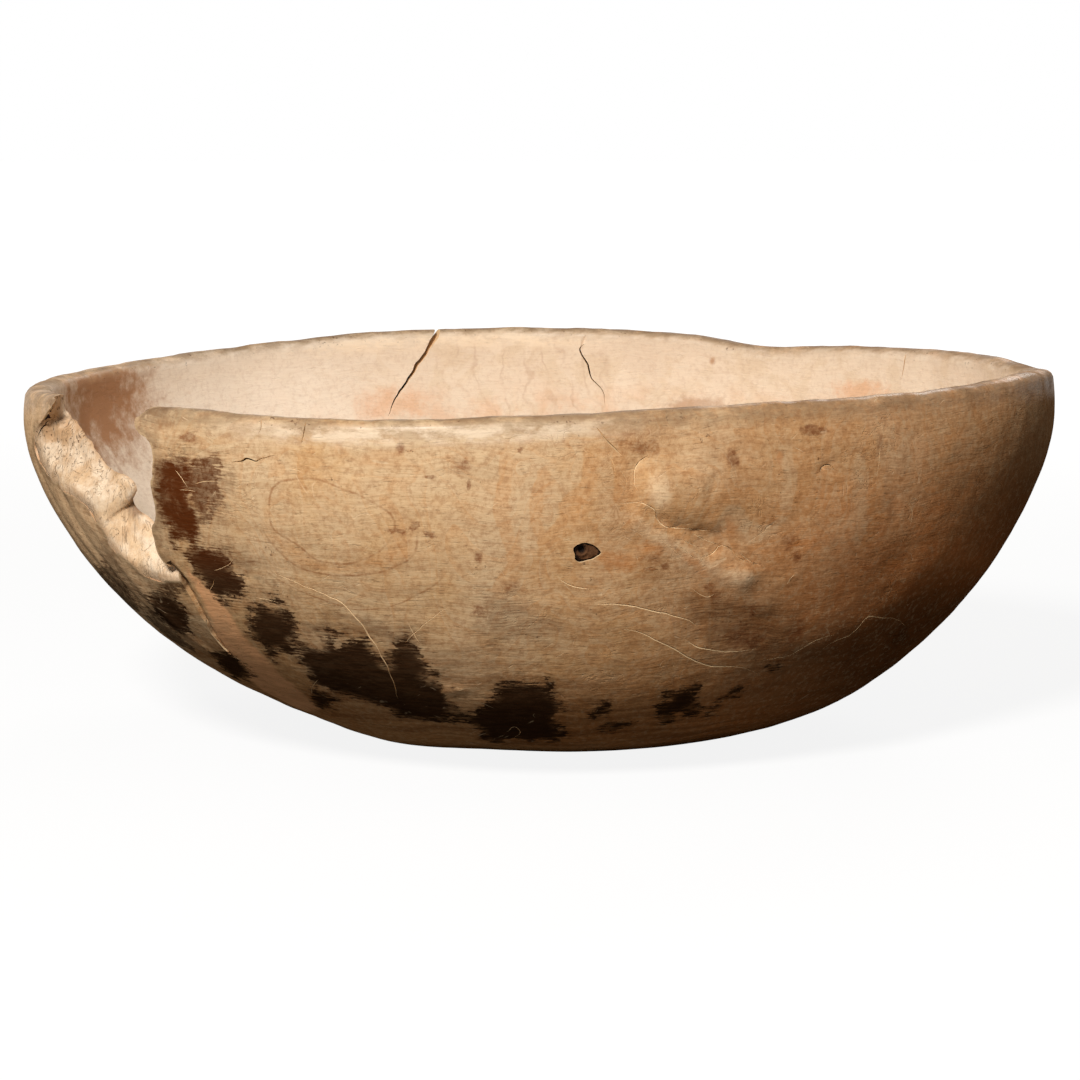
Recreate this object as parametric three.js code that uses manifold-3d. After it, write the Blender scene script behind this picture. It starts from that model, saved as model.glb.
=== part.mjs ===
// Root bowl: an oval bowl hewn from one piece of burl, with a broken front left wall,
// drying splits at the rim and one dead branch knot loose in its socket.
// Millimetres, +Z up, +X along the bowl towards its sound end, the broken wall facing -X and -Y.

import * as THREE from "three";
import { ParametricGeometry } from "three/addons/geometries/ParametricGeometry.js";
import { mergeVertices } from "three/addons/utils/BufferGeometryUtils.js";
import Module from "manifold-3d";

// Bowl: plan and walls
const HALF_LENGTH = 241.5;
const HALF_WIDTH = 196;
const PLAN_POWER = 1.1;
const PLAN_TAPER = 0.1;
const END_WALL = 14;
const SIDE_WALL = 11;
const FLOOR_THICKNESS = 22;
const LIP_HEIGHT = 6;
const LIP_POWER = 0.8;

// Foot: its size as a share of the plan, and how far it sits towards the sound end
const FOOT_SHARE = 0.22;
const FOOT_SHIFT = 19;
const FOOT_SHIFT_POWER = 1.5;

// The rim draws in a little above this share of the height
const TUCK_START = 0.75;
const TUCK = 0.02;

// Height of the rim round the bowl: angle in degrees from the sound end, height
const RIM_HEIGHTS = [
  [0, 166.6], [10, 165.8], [25, 167], [48, 165], [60, 162], [71, 166.8], [90, 168.3],
  [110, 166.9], [132, 162.6], [152, 160], [185, 160], [205, 162.7], [222, 165.5],
  [248, 164.3], [264, 166], [284, 168.7], [322, 169.4], [340, 170], [352, 168.2],
];

// Fullness of the wall round the bowl: angle, power of the spread, power of the climb
const WALL_FULLNESS = [
  [0, 1.84, 1.74], [90, 1.93, 2.08], [180, 2.14, 1.86], [215, 1.99, 2.31],
  [240, 1.85, 2.66], [270, 2.27, 2.55], [315, 2.27, 1.81],
];

// Swellings and hollows of the outer face: centre, reach, height, and the way they push
const RELIEFS = [
  { at: [-61, -84, 12], reach: [38, 38, 22], height: 4.7, push: [-0.31, -0.39, -0.87] },
  { at: [62, -182, 134], reach: [21, 26, 17], height: 3.6, push: [0.26, -0.96, 0] },
  { at: [66, -178, 116], reach: [19, 26, 6], height: -2.6, push: [0.3, -0.95, 0] },
  { at: [85, -167, 100], reach: [13, 22, 9], height: 3, push: [0.36, -0.9, 0.25] },
  { at: [130, -122, 66], reach: [34, 30, 12], height: 2.4, push: [0.5, -0.6, -0.6] },
];

// Facets: round the bowl, and up the outer face, over the lip and down the inner face
const AROUND = 124;
const OUTER_STEPS = 20;
const LIP_STEPS = 5;
const INNER_STEPS = 14;
const STEP_POWER = 1.6;
const FRONT_ANGLE = 265;
const FRONT_DENSITY = 0.35;

// Break: its outline on the outer and on the inner face, as matching [angle, height] points
const BREAK_OUTER = [
  [225.5, 185], [225, 163.8], [223.6, 159], [224.1, 153.8], [226.6, 145], [225.9, 132],
  [225.3, 119.5], [223.7, 110], [223.6, 98], [225, 91], [220.7, 90.6], [216.7, 92.9],
  [215, 99], [213.8, 107], [213.2, 114.5], [211.7, 120.8], [208.5, 124.5], [204.5, 126.5],
  [200.5, 132], [196.6, 137], [199, 147.5], [203.5, 157], [205, 185],
];
const BREAK_INNER = [
  [230, 185], [230, 163], [228.5, 158], [229, 152], [231.5, 144], [231, 131],
  [230.3, 119], [229, 108], [227, 103], [223, 104.5], [219.5, 109.5], [217.4, 113.5],
  [216.2, 116], [216.2, 120], [216.9, 125.5], [215.6, 131.8], [212.2, 133.6], [207.5, 133.6],
  [204.8, 142], [201, 148], [197, 152.5], [195, 157.5], [193, 185],
];
const BREAK_OUT = 30;
const BREAK_IN = 45;
const BREAK_RINGS = 4;

// Grooves: [angle, height] points on the outer face, open at the first end and fading to the
// last, with the width to either side, the depth into the wall and the height out of it
const GROOVES = {
  farSplit: {
    path: [[103.3, 178], [104.8, 162], [106.2, 154], [107.9, 146], [111.5, 128], [113, 120]],
    left: 1.2, right: 1.2, depth: 26, rise: 6, fade: 0.5,
  },
  endSplit: {
    path: [[207, 170], [203, 155.4], [199.6, 149], [197, 142.5], [196, 137], [196, 131]],
    left: 1.3, right: 1.3, depth: 10, rise: 4, fade: 0.7,
  },
  fold: {
    path: [[223.4, 101], [225.4, 89], [225.3, 80], [224.4, 68], [223.3, 57], [223.2, 43]],
    left: 4, right: 9, depth: 4.8, rise: 4, fade: 0.8,
  },
};
const GROOVE_SIDES = 8;
const GROOVE_STEPS = 12;
const GROOVE_MOUTH = 0.06;

// Knot: outline across the grain [right, up] about its centre, and its tapered stub
const KNOT_ANGLE = 273.9;
const KNOT_HEIGHT = 110.2;
const KNOT_OUTLINE = [
  [5.3, -0.4], [2.6, 2.5], [-1.6, 3.8], [-5.4, 2], [-4.8, -1],
  [-4.7, -2.8], [-2.9, -4.1], [0.5, -3.2], [2, -2.9], [3.7, -1.9],
];
const KNOT_AROUND = 20;
const KNOT_DEPTH = 9;
const KNOT_TAPER = 0.62;
const KNOT_SUNK = 0.9;
const KNOT_ROUND = 0.7;
const KNOT_PIT = { at: [-2.5, 1], reach: 1.6, depth: 2 };
const KNOT_FACE_RINGS = [0.3, 0.55, 0.8, 0.95];
const SOCKET_GAP = 0.4;
const SOCKET_MOUTH = 8;
const SOCKET_FLARE = 1.25;

const OUTER = { halfLength: HALF_LENGTH, halfWidth: HALF_WIDTH, floor: 0 };
const INNER = {
  halfLength: HALF_LENGTH - END_WALL,
  halfWidth: HALF_WIDTH - SIDE_WALL,
  floor: FLOOR_THICKNESS,
};

const wasm = await Module();
wasm.setup();

// Smooth value round the bowl, through stations of [angle, value, value...]
function aroundBowl(stations, degrees, column = 1) {
  const count = stations.length;
  const wrapped = (index) => {
    const turns = Math.floor(index / count);
    const station = stations[index - turns * count];
    return [station[0] + 360 * turns, station[column]];
  };
  const angle = THREE.MathUtils.euclideanModulo(degrees - stations[0][0], 360) + stations[0][0];
  let index = count - 1;
  while (stations[index][0] > angle) {
    index -= 1;
  }
  const [before, start, end, after] = [index - 1, index, index + 1, index + 2].map(wrapped);
  const span = end[0] - start[0];
  const share = (angle - start[0]) / span;
  const startSlope = ((end[1] - before[1]) / (end[0] - before[0])) * span;
  const endSlope = ((after[1] - start[1]) / (after[0] - start[0])) * span;
  const square = share * share;
  const cube = square * share;
  return (2 * cube - 3 * square + 1) * start[1] + (cube - 2 * square + share) * startSlope
    + (3 * square - 2 * cube) * end[1] + (cube - square) * endSlope;
}

// How far out the wall stands at a climb from 0 at the floor to 1 at the rim
function wallReach(degrees, climb) {
  const spread = aroundBowl(WALL_FULLNESS, degrees, 1);
  const rise = aroundBowl(WALL_FULLNESS, degrees, 2);
  const fullness = (1 - (1 - climb) ** rise) ** (1 / spread);
  const tuck = TUCK * Math.max((climb - TUCK_START) / (1 - TUCK_START), 0) ** 2;
  return (FOOT_SHARE + (1 - FOOT_SHARE) * fullness) * (1 - tuck);
}

// Push a point of the outer face out by the swellings near it, never below the foot
function applyReliefs(point) {
  const start = point.clone();
  for (const { at, reach, height, push } of RELIEFS) {
    const [dx, dy, dz] = at.map((centre, axis) => (start.getComponent(axis) - centre) / reach[axis]);
    const lift = height * Math.exp(-(dx * dx + dy * dy + dz * dz));
    point.addScaledVector(new THREE.Vector3(...push), lift);
  }
  point.z = Math.max(point.z, 0);
}

// Point of a face of the wall at an angle and a height
function wallPoint(face, degrees, height) {
  const angle = THREE.MathUtils.degToRad(degrees);
  const rim = aroundBowl(RIM_HEIGHTS, degrees);
  const climb = THREE.MathUtils.clamp((height - face.floor) / (rim - face.floor), 0, 1);
  const reach = wallReach(degrees, climb);
  const side = Math.sign(Math.sin(angle)) * Math.abs(Math.sin(angle)) ** PLAN_POWER;
  const x = face.halfLength * Math.cos(angle) * reach + FOOT_SHIFT * (1 - climb) ** FOOT_SHIFT_POWER;
  const y = face.halfWidth * side * (1 - PLAN_TAPER * Math.cos(angle)) * reach;
  const point = new THREE.Vector3(x, y, height);
  if (face === OUTER) {
    applyReliefs(point);
  }
  return point;
}

// Level direction straight out from the middle of the bowl
function outward(degrees) {
  const angle = THREE.MathUtils.degToRad(degrees);
  return new THREE.Vector3(Math.cos(angle), Math.sin(angle), 0);
}

// Closed solid from a surface whose first and last rings close to a point
function solidOf(surface, around, along) {
  const sheet = new ParametricGeometry(surface, around, along);
  sheet.deleteAttribute("normal");
  sheet.deleteAttribute("uv");
  const merged = mergeVertices(sheet);
  const { array } = merged.attributes.position;
  const corner = (index) => new THREE.Vector3().fromArray(array, index * 3);
  const faces = [];
  let volume = 0;
  for (let i = 0; i < merged.index.count; i += 3) {
    const [a, b, c] = merged.index.array.slice(i, i + 3);
    if (a !== b && b !== c && c !== a) {
      faces.push([a, b, c]);
      volume += corner(a).dot(corner(b).cross(corner(c)));
    }
  }
  const facing = volume > 0 ? faces : faces.map(([a, b, c]) => [a, c, b]);
  return new wasm.Manifold(new wasm.Mesh({
    numProp: 3,
    vertProperties: new Float32Array(array),
    triVerts: new Uint32Array(facing.flat()),
  }));
}

// Named mesh from a solid
function meshOf(name, solid, material) {
  const { vertProperties, triVerts } = solid.getMesh();
  const geometry = new THREE.BufferGeometry();
  geometry.setAttribute("position", new THREE.BufferAttribute(vertProperties, 3));
  geometry.setIndex(new THREE.BufferAttribute(triVerts, 1));
  geometry.computeVertexNormals();
  const mesh = new THREE.Mesh(geometry, material);
  mesh.name = name;
  return mesh;
}

// Body of the bowl: up the outer face, over the rounded lip and down the inner face
function bowlBody() {
  const lipStart = OUTER_STEPS + 1;
  const lipEnd = lipStart + LIP_STEPS;
  const along = lipEnd + INNER_STEPS + 1;
  const facePoint = (face, degrees, share) => {
    const shoulder = aroundBowl(RIM_HEIGHTS, degrees) - LIP_HEIGHT;
    return wallPoint(face, degrees, face.floor + (shoulder - face.floor) * share ** STEP_POWER);
  };
  const lipPoint = (degrees, share) => {
    const outer = facePoint(OUTER, degrees, 1);
    const inner = facePoint(INNER, degrees, 1);
    const turn = Math.PI * share;
    const across = Math.sign(Math.cos(turn)) * Math.abs(Math.cos(turn)) ** LIP_POWER;
    const point = inner.clone().lerp(outer, 0.5 + across / 2);
    point.z += LIP_HEIGHT * Math.sin(turn) ** LIP_POWER;
    return point;
  };
  return solidOf((u, v, target) => {
    const front = FRONT_ANGLE / 360;
    const swing = (FRONT_DENSITY * Math.sin(2 * Math.PI * (u - front))) / (2 * Math.PI);
    const degrees = THREE.MathUtils.euclideanModulo(360 * (u - swing), 360);
    const station = Math.round(v * along);
    if (station === 0 || station === along) {
      target.set(FOOT_SHIFT, 0, station === 0 ? OUTER.floor : INNER.floor);
    } else if (station < lipStart) {
      target.copy(facePoint(OUTER, degrees, (station - 1) / OUTER_STEPS));
    } else if (station < lipEnd) {
      target.copy(lipPoint(degrees, (station - lipStart + 1) / LIP_STEPS));
    } else {
      target.copy(facePoint(INNER, degrees, (along - 1 - station) / INNER_STEPS));
    }
  }, AROUND, along);
}

// Wood that is missing at the front left: the wall between two matching outlines
function breakCut() {
  const count = BREAK_OUTER.length;
  const lastRing = BREAK_RINGS + 2;
  const ringPoint = (index, ring) => {
    const [outerAngle, outerHeight] = BREAK_OUTER[index];
    const [innerAngle, innerHeight] = BREAK_INNER[index];
    const outer = wallPoint(OUTER, outerAngle, outerHeight);
    const inner = wallPoint(INNER, innerAngle, innerHeight);
    if (ring === 0) {
      return outer.addScaledVector(outward(outerAngle), BREAK_OUT);
    }
    if (ring === lastRing) {
      return inner.addScaledVector(outward(innerAngle), -BREAK_IN);
    }
    return outer.lerp(inner, (ring - 1) / BREAK_RINGS);
  };
  const ringCentre = (ring) => {
    const sum = new THREE.Vector3();
    BREAK_OUTER.forEach((_, index) => sum.add(ringPoint(index, ring)));
    return sum.divideScalar(count);
  };
  const along = lastRing + 2;
  return solidOf((u, v, target) => {
    const station = Math.round(v * along);
    if (station === 0 || station === along) {
      target.copy(ringCentre(station === 0 ? 0 : lastRing));
    } else {
      target.copy(ringPoint(Math.round(u * count) % count, station - 1));
    }
  }, count, along);
}

// Groove or split along the outer face, widest at its open end
function grooveCut({ path, left, right, depth, rise, fade }) {
  const onWall = path.map(([angle, height]) => wallPoint(OUTER, angle, height));
  const line = new THREE.CatmullRomCurve3(onWall, false, "centripetal");
  const out = outward(path[path.length >> 1][0]);
  return solidOf((u, v, target) => {
    const turn = 2 * Math.PI * u;
    const along = line.getTangentAt(v);
    const side = out.clone().cross(along).normalize();
    const up = along.cross(side).normalize();
    const swell = Math.min(v / GROOVE_MOUTH, 1) * (1 - v) ** fade;
    const across = Math.cos(turn) * (Math.cos(turn) > 0 ? right : left);
    const upwards = Math.sin(turn) * (Math.sin(turn) > 0 ? rise : depth);
    target.copy(line.getPointAt(v));
    target.addScaledVector(side, across * swell);
    target.addScaledVector(up, upwards * Math.sqrt(swell));
  }, GROOVE_SIDES, GROOVE_STEPS);
}

// Place on the outer face round the knot: a point [right, up, out] of it
function knotPlace() {
  const centre = wallPoint(OUTER, KNOT_ANGLE, KNOT_HEIGHT);
  const beside = wallPoint(OUTER, KNOT_ANGLE + 1, KNOT_HEIGHT);
  const above = wallPoint(OUTER, KNOT_ANGLE, KNOT_HEIGHT + 2);
  const right = beside.sub(centre).normalize();
  const out = right.clone().cross(above.sub(centre)).normalize();
  const up = out.clone().cross(right);
  return new THREE.Matrix4().makeBasis(right, up, out).setPosition(centre);
}

// Outline of the knot at a turn from 0 to 1
function knotOutline(turn) {
  const corners = KNOT_OUTLINE.map(([right, up]) => new THREE.Vector3(right, up, 0));
  return new THREE.CatmullRomCurve3(corners, true, "centripetal").getPoint(turn % 1);
}

// Plug in the wall at the knot, through rings of [share of the outline, height]
function plugOf(rings, gap, dish) {
  const place = knotPlace();
  const along = rings.length + 1;
  return solidOf((u, v, target) => {
    const station = Math.round(v * along);
    const closed = station === 0 || station === along;
    const [share, height] = rings[THREE.MathUtils.clamp(station - 1, 0, rings.length - 1)];
    target.copy(knotOutline(u)).multiplyScalar(share);
    target.setLength(closed ? 0 : target.length() + gap);
    target.z = height - (station < along / 2 ? dish(target) : 0);
    target.applyMatrix4(place);
  }, KNOT_AROUND, along);
}

// Tapered stub of the knot, its face sunk and pitted
function knotBody() {
  const face = KNOT_FACE_RINGS.map((share) => [share, -KNOT_SUNK]);
  const edge = [1, -KNOT_SUNK - KNOT_ROUND];
  const end = [KNOT_TAPER, -KNOT_SUNK - KNOT_DEPTH];
  const pit = ({ x, y }) => {
    const away = Math.hypot(x - KNOT_PIT.at[0], y - KNOT_PIT.at[1]) / KNOT_PIT.reach;
    return KNOT_PIT.depth * Math.exp(-away * away);
  };
  return plugOf([...face, edge, end], 0, pit);
}

// Hole that the knot sits in, flared at its mouth
function socketCut() {
  const mouth = [SOCKET_FLARE, SOCKET_MOUTH];
  const brim = [1, 0];
  const throat = [1, -KNOT_SUNK - KNOT_ROUND];
  const end = [KNOT_TAPER, -KNOT_SUNK - KNOT_DEPTH - SOCKET_GAP];
  return plugOf([mouth, brim, throat, end], SOCKET_GAP, () => 0);
}

const cuts = [breakCut(), ...Object.values(GROOVES).map(grooveCut), socketCut()];
const bowl = cuts.reduce((solid, cut) => solid.subtract(cut), bowlBody());
const wood = new THREE.MeshStandardMaterial({ color: 0xc49a6c, roughness: 0.55, metalness: 0 });
const knotWood = new THREE.MeshStandardMaterial({ color: 0x4a3022, roughness: 0.75, metalness: 0 });

const group = new THREE.Group();
group.add(meshOf("bowl", bowl, wood));
group.add(meshOf("dead_knot", knotBody(), knotWood));

// The origin is under the middle of the bowl, on the surface that it stands on
const box = new THREE.Box3().setFromObject(group.children[0]);
const middle = box.getCenter(new THREE.Vector3());
group.position.set(-middle.x, -middle.y, -box.min.z);

export default group;
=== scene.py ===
"""Root bowl: an oval bowl hewn from one burl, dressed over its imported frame.

The bowl and the dead knot in its front wall are built again from the same form at a finer
scale, with their cracks, broken wall and wear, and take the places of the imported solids.
Sizes are millimetres in the wood's own form and metres in the scene.
"""

import logging
import math
from dataclasses import dataclass, field
from enum import Enum
from functools import cached_property, reduce
from operator import or_
from types import SimpleNamespace

import bpy
import numpy as np
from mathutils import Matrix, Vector
from mathutils.bvhtree import BVHTree
from mathutils.kdtree import KDTree


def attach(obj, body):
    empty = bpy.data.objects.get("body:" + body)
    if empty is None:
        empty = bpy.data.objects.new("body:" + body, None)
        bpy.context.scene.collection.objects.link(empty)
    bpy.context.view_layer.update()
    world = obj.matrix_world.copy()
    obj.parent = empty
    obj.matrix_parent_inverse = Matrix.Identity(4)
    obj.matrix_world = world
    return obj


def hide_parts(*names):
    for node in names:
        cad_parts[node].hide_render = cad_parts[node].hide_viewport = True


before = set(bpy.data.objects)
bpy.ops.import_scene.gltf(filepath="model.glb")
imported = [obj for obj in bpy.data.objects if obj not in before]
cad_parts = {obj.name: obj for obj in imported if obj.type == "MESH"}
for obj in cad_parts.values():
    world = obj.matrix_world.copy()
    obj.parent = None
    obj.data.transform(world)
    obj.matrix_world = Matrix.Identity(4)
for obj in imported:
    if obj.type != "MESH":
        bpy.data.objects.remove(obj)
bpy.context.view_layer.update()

log = logging.getLogger("root_bowl")

Colour = tuple[float, float, float, float]
Path = tuple[tuple[float, float], ...]

RINGS = ("ring_one", "ring_two", "ring_three")
DRY = 0.08
WHITE = (1.0, 1.0, 1.0, 1.0)


def shade(red: int, green: int, blue: int) -> Colour:
    """A colour from its red, green and blue out of 255, as the eye sees them."""
    def linear(value: int) -> float:
        """One channel as light."""
        part = value / 255
        return part / 12.92 if part <= 0.04045 else ((part + 0.055) / 1.055) ** 2.4
    return (linear(red), linear(green), linear(blue), 1.0)


def trace(*numbers: float) -> Path:
    """A path through pairs of numbers, mostly an angle and a height."""
    return tuple(zip(numbers[::2], numbers[1::2]))


def unit(vectors: np.ndarray) -> np.ndarray:
    """The vectors at length one."""
    return vectors / np.maximum(np.linalg.norm(vectors, axis=-1, keepdims=True), 1e-9)


def ease(value: np.ndarray, low: float, high: float) -> np.ndarray:
    """A smooth step from 0 at low to 1 at high."""
    share = np.clip((value - low) / (high - low), 0.0, 1.0)
    return share * share * (3.0 - 2.0 * share)


class Side(Enum):
    """The two faces of the wall."""

    OUTER = "outer"
    INNER = "inner"


class Wood(Enum):
    """Material slots of the bowl's mesh, in order."""

    SKIN = 0
    TORN = 1
    CRACK = 2


class Unevenness:
    """Seeded noise in space, for the wood's unevenness."""

    FULL = 1.6

    def __init__(self, seed: int) -> None:
        """Draws the gradients."""
        chance = np.random.default_rng(seed)
        self.order = chance.permutation(256)
        self.gradients = unit(chance.normal(size=(256, 3)))

    def at(self, points: np.ndarray, size: float) -> np.ndarray:
        """Noise from about -1 to 1.

        Args:
            points: places in millimetres, one a row.
            size: distance between bumps.

        Returns:
            One value for each point.
        """
        scaled = points / size
        cell = np.floor(scaled).astype(int)
        inside = scaled - cell
        blend = inside * inside * inside * (inside * (inside * 6 - 15) + 10)
        total = np.zeros(points.shape[:-1])
        for corner in range(8):
            step = np.array([corner & 1, corner >> 1 & 1, corner >> 2 & 1])
            index = self.order[(cell[..., 0] + step[0]) & 255]
            index = self.order[(index + cell[..., 1] + step[1]) & 255]
            index = self.order[(index + cell[..., 2] + step[2]) & 255]
            slope = (self.gradients[index] * (inside - step)).sum(-1)
            weight = np.where(step, blend, 1 - blend).prod(-1)
            total += slope * weight
        return total * self.FULL

    def layered(self, points: np.ndarray, size: float, layers: int = 3) -> np.ndarray:
        """Noise with finer bumps on coarser ones."""
        return sum(self.at(points + 37.0 * k, size / 2 ** k) / 2 ** k for k in range(layers))


@dataclass(frozen=True)
class Stations:
    """Values that change smoothly round the bowl, through given angles."""

    rows: tuple[tuple[float, ...], ...]

    def at(self, degrees: np.ndarray, column: int = 1) -> np.ndarray:
        """The value at each angle.

        Args:
            degrees: angles from the sound end.
            column: which value of the rows.

        Returns:
            One value for each angle.
        """
        table = np.array(self.rows, float)
        angles, values = table[:, 0], table[:, column]
        count = len(angles)
        angles = np.concatenate([angles[-1:] - 360, angles, angles[:2] + 360])
        values = np.concatenate([values[-1:], values, values[:2]])
        turned = np.mod(degrees - table[0, 0], 360) + table[0, 0]
        start = np.clip(np.searchsorted(angles, turned, side="right") - 1, 1, count)
        span = angles[start + 1] - angles[start]
        share = (turned - angles[start]) / span
        leave = (values[start + 1] - values[start - 1]) / (angles[start + 1] - angles[start - 1])
        reach = (values[start + 2] - values[start]) / (angles[start + 2] - angles[start])
        square, cube = share ** 2, share ** 3
        return ((2 * cube - 3 * square + 1) * values[start] + (cube - 2 * square + share) * leave * span
                + (3 * square - 2 * cube) * values[start + 1] + (cube - square) * reach * span)


@dataclass(frozen=True)
class Swelling:
    """A broad swelling or hollow of the outer face, as in the solid."""

    at: tuple[float, float, float]
    reach: tuple[float, float, float]
    height: float
    push: tuple[float, float, float]


@dataclass(frozen=True)
class Dent:
    """A small dent or bump of the outer face, by angle and height."""

    at: tuple[float, float]
    reach: tuple[float, float]
    height: float
    turn: float = 0.0


@dataclass(frozen=True)
class Crease:
    """A long ridge or furrow of the outer face, through angles and heights."""

    path: Path
    width: float
    height: float


@dataclass(frozen=True)
class BowlForm:
    """The form of the bowl: plan, walls, rim and relief."""

    half_length: float = 241.5
    half_width: float = 196.0
    plan_power: float = 1.1
    plan_taper: float = 0.1
    end_wall: float = 14.0
    side_wall: float = 11.0
    floor_thickness: float = 22.0
    lip_height: float = 6.0
    lip_power: float = 0.8
    foot_share: float = 0.22
    foot_shift: float = 19.0
    foot_shift_power: float = 1.5
    tuck_start: float = 0.75
    tuck: float = 0.02
    rim: Stations = Stations((
        (0, 166.6), (10, 165.8), (25, 167), (48, 165), (60, 162), (71, 166.8), (90, 168.3), (110, 166.9),
        (132, 162.6), (152, 160), (185, 160), (205, 162.7), (222, 165.5), (248, 164.3), (264, 166), (284, 168.7),
        (322, 169.4), (340, 170), (352, 168.2),
    ))
    fullness: Stations = Stations((
        (0, 1.84, 1.74), (90, 1.93, 2.08), (180, 2.14, 1.86), (215, 1.99, 2.31), (240, 1.85, 2.66),
        (270, 2.27, 2.55), (315, 2.27, 1.81),
    ))
    swellings: tuple[Swelling, ...] = (
        Swelling((-61, -84, 12), (38, 38, 22), 4.7, (-0.31, -0.39, -0.87)),
        Swelling((62, -182, 134), (21, 26, 17), 3.6, (0.26, -0.96, 0)),
        Swelling((66, -178, 116), (19, 26, 6), -0.8, (0.3, -0.95, 0)),
        Swelling((87, -166, 95), (14, 22, 11), 0.8, (0.36, -0.9, 0.25)),
        Swelling((130, -122, 66), (34, 30, 12), 2.4, (0.5, -0.6, -0.6)),
    )
    dents: tuple[Dent, ...] = (
        Dent((281.4, 136), (7.5, 11), 2, 12), Dent((285.8, 130), (13, 8), -0.7, -20),
        Dent((290.6, 96.4), (7, 5), 0.9, -14), Dent((287.5, 108), (9, 4), -0.5, -32),
        Dent((278.8, 159), (9, 6), 0.6, 0), Dent((283.3, 150), (9, 9), -0.5, 0), Dent((300, 140), (4, 3), -0.5, 0),
        Dent((296.4, 93.7), (4, 2.5), 0.6, 20), Dent((293.4, 118), (12, 5), -0.5, 5),
        Dent((305, 120), (22, 13), 0.7, 30), Dent((312, 95), (20, 12), -0.8, 20),
        Dent((248.5, 122), (34, 19), 0.8, -4), Dent((232.5, 156), (10, 6), 0.7, 20),
        Dent((227.8, 160), (8, 5), -0.9, 25), Dent((256.5, 47), (6, 3), 0.8, 15),
        Dent((265, 139), (26, 10), -0.5, 0), Dent((262, 90), (30, 12), -0.5, 10),
    )
    creases: tuple[Crease, ...] = (
        Crease(trace(279, 122, 280.2, 119, 281.5, 115.5, 283.5, 111.2, 285, 106.4, 287, 101.2, 288.8, 97.4,
            290.4, 96.4), 4.8, 1.5),
        Crease(trace(280.4, 127.7, 281, 123.6, 282.4, 120, 284.4, 118.2, 286, 116.8, 287.6, 115.8), 1.9, -1.2),
        Crease(trace(285, 112.6, 286, 114, 287, 115.3), 1.5, -0.6),
        Crease(trace(285.5, 110.8, 286.8, 113.1, 288, 114.5), 1.4, -0.6),
        Crease(trace(286, 109.5, 287.2, 111.3, 288.5, 112.3), 1.4, -0.5),
        Crease(trace(286, 106, 287, 107.4, 287.8, 110, 288.8, 109.2, 290, 104.4, 291.8, 101.4), 1.7, -0.6),
        Crease(trace(287.2, 104.6, 288.4, 106, 289.6, 101.6), 2, 0.8),
        Crease(trace(280.3, 150, 279, 146, 278.5, 141, 278.5, 136, 279.3, 131), 1.6, -0.9),
        Crease(trace(280.5, 108, 284, 98, 288, 87.5, 293, 84), 9, 1.1),
        Crease(trace(287.2, 120.3, 287.8, 124.4, 288.5, 127.7, 289.5, 128.6, 290.2, 126.3, 291, 121.3, 292.5, 117.7,
            294.8, 120, 296, 130), 1.5, 0.3),
        Crease(trace(287, 138, 286.6, 134, 286.3, 131), 1.5, -0.7),
        Crease(trace(299.3, 140.1, 300.2, 142.4, 301, 139), 1.4, -0.7),
        Crease(trace(299.4, 138.2, 300.4, 140, 301.2, 137), 1.2, 0.6),
        Crease(trace(310, 117, 309.5, 124, 308.4, 131), 2.2, -0.5),
        Crease(trace(203.8, 136, 205.8, 107.6, 208.2, 86, 211, 66, 216, 46), 3, -0.9),
        Crease(trace(206.2, 124, 211.5, 106, 214.1, 86.6, 216, 66, 219, 48), 3, 0.8),
        Crease(trace(228.5, 158.5, 231, 158.6, 233.3, 161), 3, -0.7),
        Crease(trace(226.2, 163, 227.2, 157, 226.8, 150), 1.8, -0.7),
        Crease(trace(228.6, 164, 230.2, 160, 229.6, 154), 1.5, 0.6),
        Crease(trace(231, 164.5, 232, 158.5, 235, 155), 1.8, -0.5),
        Crease(trace(196, 128, 199, 112, 203, 92, 207, 74), 3.5, -0.8),
    )
    wrinkled_at: tuple[float, float, float] = (72.0, -172.0, 118.0)
    wrinkled_reach: tuple[float, float, float] = (44.0, 70.0, 34.0)
    wrinkle_width: float = 0.24
    wrinkle_size: float = 9.0
    hewn_outside: tuple[tuple[float, float], ...] = ((0.42, 46.0), (0.2, 12.0))
    hewn_inside: tuple[tuple[float, float], ...] = ((0.55, 38.0),)
    dent_depth: float = 30.0
    plain_foot: tuple[float, float] = (1.0, 12.0)
    probe: float = 0.6
    probe_angle: float = 0.3
    probe_gap: float = 0.02
    unevenness: Unevenness = field(default_factory=lambda: Unevenness(11))

    def reach(self, degrees: np.ndarray, climb: np.ndarray) -> np.ndarray:
        """How far out the wall stands."""
        rise = 1 - (1 - climb) ** self.fullness.at(degrees, 2)
        full = rise ** (1 / self.fullness.at(degrees, 1))
        tuck = self.tuck * np.maximum((climb - self.tuck_start) / (1 - self.tuck_start), 0) ** 2
        return (self.foot_share + (1 - self.foot_share) * full) * (1 - tuck)

    def floor_of(self, side: Side) -> float:
        """Height at which a face starts."""
        return 0.0 if side is Side.OUTER else self.floor_thickness

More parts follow.
